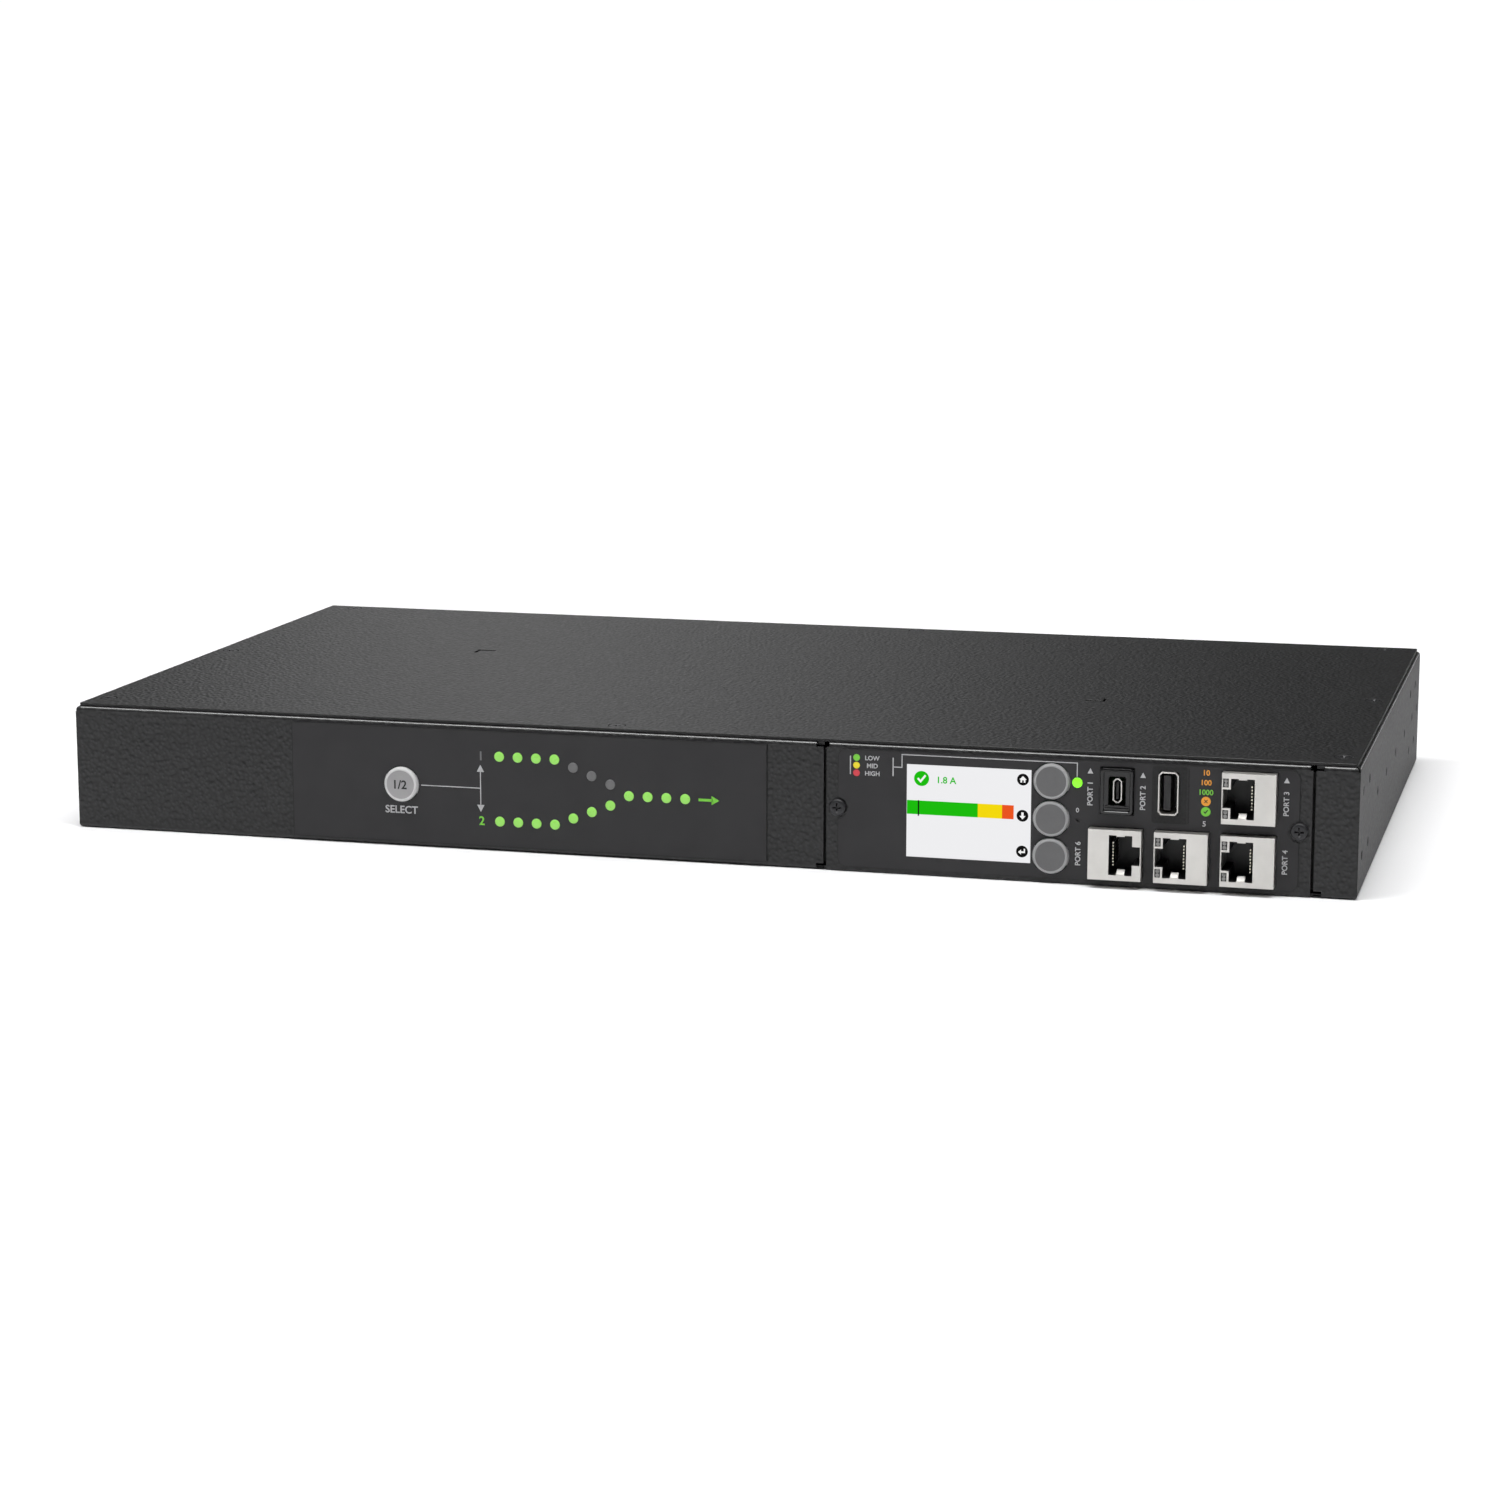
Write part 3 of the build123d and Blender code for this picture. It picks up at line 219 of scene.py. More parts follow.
class Finish:
    """A procedural material on Object coordinates."""

    def __init__(self, name, roughness, metallic=0.0):
        self.material = bpy.data.materials.new(f"{name}_finish")
        self.material.use_nodes = True
        tree = self.material.node_tree
        self.nodes = tree.nodes
        self.links = tree.links
        self.shader = tree.nodes["Principled BSDF"]
        self.normal = None
        self.place = self.add("ShaderNodeTexCoord").outputs["Object"]
        self.set("Roughness", roughness)
        self.set("Metallic", metallic)

    def add(self, kind, **inputs):
        node = self.nodes.new(kind)
        for name, value in inputs.items():
            node.inputs[name.replace("_", " ")].default_value = value
        return node

    def set(self, socket, value):
        self.shader.inputs[socket].default_value = value
        return self

    def noise(self, size, stretch=(1, 1, 1)):
        """Noise whose patches are about `size` millimetres wide."""
        mapping = self.add("ShaderNodeMapping", Scale=stretch)
        noise = self.add("ShaderNodeTexNoise", Scale=1 / (size * MM), Detail=3.0, Roughness=0.6)
        self.links.new(self.place, mapping.inputs["Vector"])
        self.links.new(mapping.outputs["Vector"], noise.inputs["Vector"])
        return noise.outputs["Fac"]

    def mottled(self, colour, size, spread):
        """Base colour that varies by a share either way over patches of a size."""
        return self.ramped(self.noise(size), colour, NOISE_SPAN, (1 - spread, 1 + spread))

    def worn(self, low, high, size, stretch=(1, 1, 1)):
        """Roughness that varies between two values."""
        first, last = NOISE_SPAN
        span = self.add("ShaderNodeMapRange", From_Min=first, From_Max=last, To_Min=low, To_Max=high)
        self.links.new(self.noise(size, stretch), span.inputs["Value"])
        self.links.new(span.outputs["Result"], self.shader.inputs["Roughness"])
        return self

    def math(self, operation, *values):
        node = self.add("ShaderNodeMath")
        node.operation = operation
        for value, socket in zip(values, node.inputs):
            self.links.new(value, socket)
        return node.outputs["Value"]

    def matted(self, wall, more):
        """Roughness that is greater on what lies more than `wall` millimetres to either side."""
        axes = self.add("ShaderNodeSeparateXYZ")
        ends = {"From_Min": wall * MM, "From_Max": (wall + MATT_BLEND) * MM}
        span = self.add("ShaderNodeMapRange", To_Max=more, **ends)
        self.links.new(self.place, axes.inputs["Vector"])
        self.links.new(self.math("ABSOLUTE", axes.outputs["X"]), span.inputs["Value"])
        rough = self.shader.inputs["Roughness"]
        self.links.new(self.math("ADD", rough.links[0].from_socket, span.outputs["Result"]), rough)
        return self

    def softened(self, radius):
        """Edges shaded as if rounded."""
        bevel = self.add("ShaderNodeBevel", Radius=radius * MM)
        bevel.samples = 4
        self.normal = bevel.outputs["Normal"]
        self.links.new(self.normal, self.shader.inputs["Normal"])
        return self

    def bumped(self, height, depth):
        bump = self.add("ShaderNodeBump", Strength=1.0, Distance=depth * MM)
        self.links.new(height, bump.inputs["Height"])
        if self.normal:
            self.links.new(self.normal, bump.inputs["Normal"])
        self.normal = bump.outputs["Normal"]
        self.links.new(self.normal, self.shader.inputs["Normal"])
        return self

    def grained(self, size, depth, stretch=(1, 1, 1)):
        return self.bumped(self.noise(size, stretch), depth)

    def ramped(self, factor, colour, places, shares):
        """Base colour at shares of its strength for the given places of a factor."""
        ramp = self.add("ShaderNodeValToRGB")
        for stop, place, share in zip(ramp.color_ramp.elements, places, shares):
            stop.position = place
            stop.color = (*(min(1.0, c * share) for c in colour), 1)
        self.links.new(factor, ramp.inputs["Fac"])
        self.links.new(ramp.outputs["Color"], self.shader.inputs["Base Color"])
        return self

    def faded(self, colour, start, length, share):
        """Base colour that falls to a share of its strength over a length from front to back."""
        axes = self.add("ShaderNodeSeparateXYZ")
        span = self.add("ShaderNodeMapRange", From_Min=start * MM, From_Max=(start + length) * MM)
        self.links.new(self.place, axes.inputs["Vector"])
        self.links.new(axes.outputs["Y"], span.inputs["Value"])
        return self.ramped(span.outputs["Result"], colour, (0.0, 1.0), (1.0, share))

    def pebbled_with_pit_shade(self, colour, size, depth, spread):
        """Rounded pebbles of a coat, each about `size` wide, darker in the pits between them: painted shade
        of the pits.
        """
        cells = self.add("ShaderNodeTexVoronoi", Scale=1 / (size * MM), Randomness=1.0)
        cells.feature = "SMOOTH_F1"
        self.links.new(self.place, cells.inputs["Vector"])
        height = cells.outputs["Distance"]
        # Painted shade: the colour is darker towards the pits between the pebbles
        self.ramped(height, colour, (0.15, 0.6), (1 + spread, 1 - spread))
        return self.bumped(height, -depth)

    def lit(self, colour, strength):
        self.set("Emission Color", (*colour, 1))
        return self.set("Emission Strength", strength)


def new_finish(
    name, colour, roughness, metallic=0.0, patch=6.0, spread=0.08, grain=0.5, depth=0.01, edge=0.0
):
    """Finish of a plain kind: mottled, a little uneven in gloss and finely grained."""
    finish = Finish(name, roughness, metallic).mottled(colour, patch, spread)
    finish.worn(roughness * 0.85, roughness * 1.15, patch / 3)
    if edge:
        finish.softened(edge)
    return finish.grained(grain, depth)


# The coat of the side walls' outer faces is rougher, from a little inside the face outwards
WALL_SKIN = 0.3
MATT_BLEND = 0.1
WALL_MATT = 0.18


def powder_coat(name):
    settings = bpy.context.scene.switch_coat
    coat = Finish(name, 0.4).worn(0.35, 0.45, 1.4).matted(TRAY_HIGH.x - WALL_SKIN, WALL_MATT).softened(0.25)
    coat.pebbled_with_pit_shade(settings.coat, settings.pebble / MM, settings.relief / MM, 0.6)
    return coat.grained(0.4, 0.01)


def bend_coat(name):
    """Coat where it is drawn thin and smooth along a bend."""
    colour = bpy.context.scene.switch_coat.coat
    coat = new_finish(name, colour, 0.24, patch=3.0, spread=0.2, grain=0.8, depth=0.004)
    return coat.set("Specular IOR Level", 0.9)


def contact_gold(name):
    """Springs whose colour is bright at their front tips and falls to a twentieth of it further back."""
    low, _ = corners("jack_contacts")
    gold = Finish(name, 0.35, 0.8).worn(0.3, 0.42, 0.8)
    return gold.faded(linear(246, 240, 222), low.y + 0.2, 0.4, 0.05).grained(0.3, 0.004)


def dark_film(name):
    colour = bpy.context.scene.switch_coat.film
    film = new_finish(name, colour, 0.45, patch=30.0, spread=0.03, grain=0.25, depth=0.003)
    return film.set("Specular IOR Level", 0.4)


def nickel(name):
    """Plating with a faint upright grain."""
    plating = Finish(name, 0.38, 0.9).mottled(linear(210, 208, 204), 9.0, 0.05)
    plating.worn(0.3, 0.46, 2.0, (1, 1, 8)).softened(0.15)
    return plating.grained(0.6, 0.004, (1, 1, 12))


def chosen(group, field, roughness, glow=0.0, **detail):
    """Maker of a finish whose colour is a setting, with a light of its own or none."""

    def make(name):
        colour = getattr(getattr(bpy.context.scene, group), field)
        made = new_finish(name, colour, roughness, **detail)
        return made.lit(colour, glow) if glow else made

    return make


def lens_finish(field, roughness, glow=0.0, spread=0.08):
    return chosen("switch_lamps", field, roughness, glow, spread=spread, depth=0.004)


def cap_finish(field):
    return chosen("switch_caps", field, 0.5, patch=5.0, spread=0.04, grain=0.3, depth=0.006)


def ink(field):
    return chosen("switch_print", field, 0.6, patch=2.0, spread=0.05, grain=0.2, depth=0.002)


def screen_finish(colour):
    """Maker of a colour that the screen shows: mostly its own light, under a little gloss."""

    def make(name):
        settings = bpy.context.scene.switch_screen
        shown = getattr(settings, colour) if isinstance(colour, str) else colour
        glass = Finish(name, 0.4).mottled([c * 0.02 for c in shown], 20.0, 0.05)
        glass.set("Specular IOR Level", 0.06)
        return glass.grained(0.3, 0.002).lit(shown, settings.glow)

    return make


def plain(colour, roughness, metallic=0.0, **detail):
    """Maker of a finish of a display colour."""
    return lambda name: new_finish(name, linear(*colour), roughness, metallic, **detail)


BLACK = (0.001, 0.001, 0.001)
WHITE = (0.9, 0.9, 0.9)
FINISHES = {
    "powder_coat": powder_coat,
    "bend_coat": bend_coat,
    "dark_film": dark_film,
    "lamp_lit": lens_finish("lit", 0.3, 0.42, 0.05),
    "lamp_idle": lens_finish("idle", 0.35),
    "lamp_status": lens_finish("status", 0.3, 0.6, 0.04),
    "lamp_clear": lens_finish("clear", 0.3),
    "button_face": cap_finish("button"),
    "button_rim": cap_finish("rim"),
    "key_face": cap_finish("key"),
    "key_rim": cap_finish("key_edge"),
    "ink_white": ink("white"),
    "ink_grey": ink("grey"),
    "ink_green": ink("green"),
    "ink_amber": ink("amber"),
    "ink_yellow": plain((246, 226, 40), 0.55, patch=2.0, spread=0.04),
    "ink_red": plain((214, 62, 74), 0.55, patch=2.0, spread=0.04),
    # Black of print, also used for a painted shadow line on the module's film
    "ink_black": plain((24, 24, 25), 0.6, patch=2.0, spread=0.05),
    # Near-black finish of painted shade: the cover's cut edges, the films' edges and the frame round the
    # larger port
    "dark_edge": plain((10, 10, 11), 0.6, patch=2.0, spread=0.1, depth=0.004),
    # Near-black finish of the strips of painted shade in the bay's gaps
    "seal_foam": plain((5, 5, 5), 0.95, patch=0.6, spread=0.4, grain=0.5, depth=0.05),
    "screen_ground": screen_finish("ground"),
    "screen_green": screen_finish("green"),
    "screen_yellow": screen_finish("yellow"),
    "screen_orange": screen_finish("orange"),
    "screen_black": screen_finish(BLACK),
    "screen_white": screen_finish(WHITE),
    "nickel": nickel,
    "black_screw": plain((44, 44, 46), 0.38, 0.4, patch=1.5, spread=0.15, depth=0.006),
    "black_moulding": plain((31, 31, 32), 0.45, patch=4.0, grain=0.3, edge=0.12),
    "gloss_moulding": plain((20, 20, 21), 0.2, patch=4.0, grain=0.6, depth=0.004, edge=0.1),
    "brass": plain((226, 190, 110), 0.3, 0.9, patch=2.0, spread=0.1, edge=0.05),
    "contact_gold": contact_gold,
    "spacer_steel": plain((176, 176, 178), 0.35, 0.9, patch=2.0),
    "board": plain((18, 62, 36), 0.45, patch=3.0, spread=0.2, grain=0.8, depth=0.02),
    "relay_case": plain((52, 54, 60), 0.4, patch=8.0, edge=0.3),
    "core": plain((84, 78, 70), 0.55, 0.3, patch=1.0, spread=0.2, grain=0.5, depth=0.03),
    "capacitor_case": plain((206, 160, 44), 0.3, patch=5.0, edge=0.3),
    "ribbon": plain((170, 171, 174), 0.5, patch=1.3, spread=0.15, grain=1.3, depth=0.05),
}


def finish(name):
    """Material of a finish, made when it is first asked for."""
    found = bpy.data.materials.get(f"{name}_finish")
    return found or FINISHES[name](name).material


NODE_FINISHES = {
    "powder_coat": "chassis_tray module_faceplate",
    "dark_film": "status_overlay module_overlay",
    "lamp_lit": "source_one_lamps source_two_lamps output_lamps",
    "lamp_idle": "branch_one_lamps",
    "lamp_status": "status_lamp",
    "screen_ground": "display_panel",
    "nickel": "network_jack_shell link_one_jack_shell link_two_jack_shell universal_jack_shell"
    " host_port_shell console_port_shell",
    "black_moulding": "network_jack_insert link_one_jack_insert link_two_jack_insert universal_jack_insert"
    " console_port_tongue host_port_tongue inlet_one inlet_two outlet_bank_one outlet_bank_two"
    " preference_switch key_switches reset_switch display_frame jack_lamps",
    "contact_gold": "jack_contacts",
    "brass": "inlet_one_pins inlet_two_pins inlet_one_links inlet_two_links output_links",
    "spacer_steel": "board_spacers lamp_board_spacers power_board_standoffs",
    "board": "lamp_board display_board controller_board power_board",
    "relay_case": "transfer_relays",
    "core": "supply_transformers",
    "capacitor_case": "filter_capacitors",
    "ribbon": "ribbon_cable",
}


def linked(data, name):
    thing = bpy.data.objects.new(name, data)
    bpy.context.scene.collection.objects.link(thing)
    return thing


def plain_mesh(thing):
    """Mesh of an object as its curve, text or modifiers give it."""
    graph = bpy.context.evaluated_depsgraph_get()
    return bpy.data.meshes.new_from_object(thing.evaluated_get(graph))


def as_mesh(bm, name):
    """Mesh of a bmesh drawn in millimetres, with its faces outwards."""
    bmesh.ops.recalc_face_normals(bm, faces=bm.faces)
    bm.transform(Matrix.Scale(MM, 4))
    mesh = bpy.data.meshes.new(name)
    bm.to_mesh(mesh)
    bm.free()
    return mesh


def smoothed(mesh, angle=35):
    """Smooth shading but for edges sharper than an angle."""
    mesh.shade_smooth()
    mesh.set_sharp_from_angle(angle=math.radians(angle))


def piece(mesh, name, body="case", materials=(), replaces=()):
    """Object of a finished mesh that rides on a body."""
    for material in materials:
        mesh.materials.append(finish(material))
    thing = linked(mesh, name)
    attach(thing, body)
    if replaces:
        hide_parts(*replaces)
    return thing


def ring(bm, points):
    return [bm.verts.new(p) for p in points]


def bridge(bm, low, high, material=0):
    """Band of faces between two rings of as many points."""
    for i in range(len(low)):
        j = (i + 1) % len(low)
        face = bm.faces.new((low[i], low[j], high[j], high[i]))
        face.material_index = material


def loft(bm, *outlines):
    """Closed solid through outlines of as many points, with a flat face at either end."""
    rings = [ring(bm, points) for points in outlines]
    for near, far in zip(rings, rings[1:]):
        bridge(bm, near, far)
    bm.faces.new(rings[0][::-1])
    bm.faces.new(rings[-1])


def circle(radius, sides):
    steps = [2 * math.pi * i / sides for i in range(sides)]
    return [(radius * math.cos(t), radius * math.sin(t)) for t in steps]


def rounded(width, height, radius, steps=6):
    """Points round a rectangle with round corners."""
    points = []
    for i, (sx, sz) in enumerate(((1, 1), (-1, 1), (-1, -1), (1, -1))):
        cx = sx * (width / 2 - radius)
        cz = sz * (height / 2 - radius)
        for k in range(steps + 1):
            t = math.pi / 2 * (i + k / steps)
            points.append((cx + radius * math.cos(t), cz + radius * math.sin(t)))
    return points


def cross(arm, half):
    """Points round a plus sign."""
    turns = [(arm, -half), (arm, half), (half, half)]
    points = []
    for i in range(4):
        c, s = round(math.cos(i * math.pi / 2)), round(math.sin(i * math.pi / 2))
        points += [(c * x - s * y, s * x + c * y) for x, y in turns]
    return points


def screw_head(profile, arm, half, depth, sides=40):
    """Head turned from (radius, height) steps with a tapering cross recess in its top."""
    bm = bmesh.new()
    rings = [ring(bm, [(x, y, z) for x, y in circle(r, sides)]) for r, z in profile]
    bm.faces.new(rings[0])
    for low, high in zip(rings, rings[1:]):
        bridge(bm, low, high)
    top = profile[-1][1]
    rim = ring(bm, [(x, y, top) for x, y in cross(arm, half)])
    floor = ring(bm, [(x, y, top - depth) for x, y in cross(arm * 0.45, half * 0.6)])
    bridge(bm, rim, floor)
    bm.faces.new(floor)
    loops = []
    for loop in (rings[-1], rim):
        for a, b in zip(loop, loop[1:] + loop[:1]):
            loops.append(bm.edges.get((a, b)))
    bmesh.ops.triangle_fill(bm, edges=loops, use_beauty=True)
    return bm


def add_socket(tree, name, kind, direction="INPUT"):
    return tree.interface.new_socket(name, in_out=direction, socket_type=kind)


def placing_tree(name):
    """Node tree with a group input and output that carry geometry and a material."""
    tree = bpy.data.node_groups.new(name, "GeometryNodeTree")
    add_socket(tree, "Geometry", "NodeSocketGeometry")
    add_socket(tree, "Material", "NodeSocketMaterial")
    add_socket(tree, "Geometry", "NodeSocketGeometry", "OUTPUT")
    return tree


def end_tree(tree, source, shape):
    """Puts a shape on every point, makes it real, gives it the material and ends the tree."""
    on_points = tree.nodes.new("GeometryNodeInstanceOnPoints")
    real = tree.nodes.new("GeometryNodeRealizeInstances")
    coat = tree.nodes.new("GeometryNodeSetMaterial")
    end = tree.nodes.new("NodeGroupOutput")
    tree.links.new(source.outputs["Geometry"], on_points.inputs["Points"])
    tree.links.new(shape, on_points.inputs["Instance"])
    tree.links.new(on_points.outputs["Instances"], real.inputs["Geometry"])
    tree.links.new(real.outputs["Geometry"], coat.inputs["Geometry"])
    tree.links.new(source.outputs["Material"], coat.inputs["Material"])
    tree.links.new(coat.outputs["Geometry"], end.inputs["Geometry"])


def dome_tree():
    """Round lenses on points, of a radius and a height."""
    tree = placing_tree("lens_domes")
    add_socket(tree, "Radius", "NodeSocketFloat")
    add_socket(tree, "Proud", "NodeSocketFloat")
    source = tree.nodes.new("NodeGroupInput")
    ball = tree.nodes.new("GeometryNodeMeshUVSphere")
    ball.inputs["Segments"].default_value = 32
    ball.inputs["Rings"].default_value = 16
    ball.inputs["Radius"].default_value = 1
    scale = tree.nodes.new("ShaderNodeCombineXYZ")
    for axis, socket in (("X", "Radius"), ("Y", "Proud"), ("Z", "Radius")):
        tree.links.new(source.outputs[socket], scale.inputs[axis])
    shape = tree.nodes.new("GeometryNodeTransform")
    tree.links.new(ball.outputs["Mesh"], shape.inputs["Geometry"])
    tree.links.new(scale.outputs["Vector"], shape.inputs["Scale"])
    end_tree(tree, source, shape.outputs["Geometry"])
    return tree


def copy_tree():
    """Copies of one shape on points."""
    tree = placing_tree("shape_copies")
    add_socket(tree, "Shape", "NodeSocketObject")
    source = tree.nodes.new("NodeGroupInput")
    shape = tree.nodes.new("GeometryNodeObjectInfo")
    tree.links.new(source.outputs["Shape"], shape.inputs["Object"])
    end_tree(tree, source, shape.outputs["Geometry"])
    return tree


def placed(make_tree, name, points, material, **inputs):
    """Plain mesh that a tree of Geometry Nodes gives on points in millimetres."""
    mesh = bpy.data.meshes.new(name)
    mesh.from_pydata([Vector(p) * MM for p in points], [], [])
    carrier = linked(mesh, name)
    tree = make_tree()
    modifier = carrier.modifiers.new(name, "NODES")
    modifier.node_group = tree
    inputs["Material"] = finish(material)
    for item in tree.interface.items_tree:
        if item.in_out == "INPUT" and item.name in inputs:
            modifier[item.identifier] = inputs[item.name]
    made = plain_mesh(carrier)
    carrier.modifiers.remove(modifier)
    bpy.data.objects.remove(carrier)
    bpy.data.node_groups.remove(tree)
    return made


def copies(bm, name, points, material, angle=35):
    """Plain mesh of a shape copied to points, with its own mesh removed again."""
    shape = linked(as_mesh(bm, name), f"{name}_shape")
    smoothed(shape.data, angle)
    made = placed(copy_tree, name, points, material, Shape=shape)
    bpy.data.objects.remove(shape)
    return made


def domes(name, points, material, radius, proud):
    made = placed(dome_tree, name, points, material, Radius=radius * MM, Proud=proud * MM)
    smoothed(made)
    return made


def stroke(points, width):
    """Outline of a line of even width through points, with sharp corners."""
    path = [Vector(p) for p in points]
    runs = [(b - a).normalized() for a, b in zip(path, path[1:])]
    sides = [Vector((-d.y, d.x)) for d in runs]
    left, right = [], []
    for i, point in enumerate(path):
        before, after = sides[max(0, i - 1)], sides[min(i, len(sides) - 1)]
        out = (before + after).normalized()
        out *= width / 2 / out.dot(before)
        left.append(point + out)
        right.append(point - out)
    return [tuple(p) for p in left + right[::-1]]


class Print:
    """Thin marks of one ink that stand on an upright face."""

    def __init__(self, face, thick):
        self.bm = bmesh.new()
        self.face = face
        self.thick = thick

    def shape(self, points):
        loft(self.bm, *[[(x, y, z) for x, z in points] for y in (self.face, self.face - self.thick)])
        return self

    def shapes(self, x, z, size, *outlines):
        """Outlines given in shares of a size about a place."""
        for outline in outlines:
            self.shape([(x + size * u, z + size * v) for u, v in outline])
        return self

    def band(self, outer, inner):
        """Band between two outlines of as many points."""
        front = self.face - self.thick
        turns = ((outer, self.face), (outer, front), (inner, front), (inner, self.face))
        rings = [ring(self.bm, [(x, y, z) for x, z in points]) for points, y in turns]
        for near, far in zip(rings, rings[1:] + rings[:1]):
            bridge(self.bm, near, far)
        return self

    def rect(self, x0, z0, x1, z1):
        return self.shape([(x0, z0), (x1, z0), (x1, z1), (x0, z1)])

    def disc(self, x, z, radius, sides=40):
        return self.shape([(x + u, z + v) for u, v in circle(radius, sides)])

    def line(self, points, width):
        return self.shape(stroke(points, width))

    def words(self, text, x, z, height, turn=0):
        """Lettering of a height with its middle at a place, turned by degrees."""
        curve = bpy.data.curves.new("lettering", "FONT")
        curve.body = text
        curve.resolution_u = 4
        curve.extrude = 0.5
        curve.offset = 0.018
        thing = linked(curve, "lettering")
        mesh = plain_mesh(thing)
        bpy.data.objects.remove(thing)
        spans = [[v.co[i] for v in mesh.vertices] for i in range(2)]
        low = [min(span) for span in spans]
        high = [max(span) for span in spans]
        scale = height / (high[1] - low[1])
        middle = Matrix.Translation((-(low[0] + high[0]) / 2, -(low[1] + high[1]) / 2, 0))
        shrink = Matrix.Diagonal((scale, scale, self.thick, 1))
        spin = Matrix.Rotation(math.radians(turn), 4, "Z")
        place = Matrix.Translation((x, self.face - self.thick / 2, z))
        mesh.transform(place @ UPRIGHT @ spin @ shrink @ middle)
        self.bm.from_mesh(mesh)
        bpy.data.meshes.remove(mesh)
        return self

    def piece(self, name, material, slot, body="case"):
        return piece(as_mesh(self.bm, name), name, body, [material])


CHECK = stroke([(-0.5, 0.02), (-0.12, -0.38), (0.52, 0.45)], 0.26)
HOUSE = [
    (-0.62, 0.0), (0.0, 0.6), (0.62, 0.0), (0.42, 0.0), (0.42, -0.5), (0.14, -0.5),
    (0.14, -0.12), (-0.14, -0.12), (-0.14, -0.5), (-0.42, -0.5), (-0.42, 0.0),
]
DOWN = [
    (-0.2, 0.58), (0.2, 0.58), (0.2, -0.02), (0.52, -0.02), (0.0, -0.62), (-0.52, -0.02), (-0.2, -0.02),
]
RETURN = [
    (-0.66, -0.1), (-0.16, 0.34), (-0.16, 0.04), (0.3, 0.04), (0.3, 0.5), (0.52, 0.5), (0.52, -0.24),
    (-0.16, -0.24), (-0.16, -0.54),
]
CROSS_A = stroke([(-0.42, -0.42), (0.42, 0.42)], 0.2)
CROSS_B = stroke([(-0.42, 0.42), (0.42, -0.42)], 0.2)


class CoatSheets(Operator):
    """Give each listed CAD node its finish"""

    bl_idname = "switch.coat_sheets"
    bl_label = "Finish the solids"

    def execute(self, context):
        for name, nodes in NODE_FINISHES.items():
            for node in nodes.split():
                for slot in NODES[node].material_slots:
                    slot.material = finish(name)
        return {"FINISHED"}


# Place of a lance from the cover's middle, length of its legs and widths of their slits
LANCE_X, LANCE_Y, LANCE_LEG, LANCE_SLIT, LANCE_OPEN = 121.0, 25.5, 6.5, 0.9, 2.0
FLUSH_HEAD_R = 2.7
SCREW_ROOM = 0.12
COVER_CORNER = 0.6
# A face of the cover whose normal rises less than this is a cut edge, coloured darker as painted shade of the
# gap along it
CUT_LEVEL = 0.3


class SetCover(Operator):
    """Make the cover with round countersinks and softened edges"""

    bl_idname = "switch.set_cover"
    bl_label = "Cover sheet"

    def execute(self, context):
        edge = context.scene.switch_coat.cover_edge / MM
        middle = (COVER_LOW.y + COVER_HIGH.y) / 2
        half = (COVER_HIGH - COVER_LOW) / 2
        outlines = [[(x, middle + y) for x, y in rounded(2 * half.x, 2 * half.y, COVER_CORNER)]]
        for low, high in solids("cover_screws"):
            x, y = (low.x + high.x) / 2, (low.y + high.y) / 2
            outlines.append([(x + u, y + v) for u, v in circle(FLUSH_HEAD_R + SCREW_ROOM, 40)])
        slit = [
            (0, 0), (LANCE_LEG, 0), (LANCE_LEG, -LANCE_OPEN), (LANCE_SLIT, -LANCE_OPEN),
            (LANCE_SLIT, -LANCE_LEG), (0, -LANCE_LEG),
        ]
        for turn in (1, -1):
            outlines.append([(turn * (x - LANCE_X), middle + turn * (y + LANCE_Y)) for x, y in slit])
        curve = bpy.data.curves.new("cover_sheet", "CURVE")
        curve.dimensions = "2D"
        curve.fill_mode = "BOTH"
        curve.extrude = (half.z - edge) * MM
        curve.bevel_depth = edge * MM
        curve.bevel_resolution = 2
        curve.offset = -edge * MM
        for outline in outlines:
            spline = curve.splines.new("POLY")
            spline.points.add(len(outline) - 1)
            for point, (x, y) in zip(spline.points, outline):
                point.co = (x * MM, y * MM, 0, 1)
            spline.use_cyclic_u = True
        flat = linked(curve, "cover_curve")
        mesh = plain_mesh(flat)
        bpy.data.objects.remove(flat)
        mesh.transform(Matrix.Translation((0, 0, (COVER_LOW.z + half.z) * MM)))
        mesh.materials.clear()
        smoothed(mesh)
        for face in mesh.polygons:
            # Cut edges take the darker finish: painted shade
            face.material_index = int(abs(face.normal.z) < CUT_LEVEL)
        materials = ["powder_coat", "dark_edge"]
        piece(mesh, "cover_sheet", materials=materials, replaces=["top_cover"])
        return {"FINISHED"}


# Black strips of painted shade in the gaps beside the module: distance behind the front, depth, sides'
# distances from the plate, and room below and above
BAY_SHADE_BACK, BAY_SHADE_DEEP = 1.1, 1.2
BAY_SHADE_IN, BAY_SHADE_OUT = 0.05, 0.85
BAY_SHADE_BELOW, BAY_SHADE_ABOVE = 2.4, 2.2


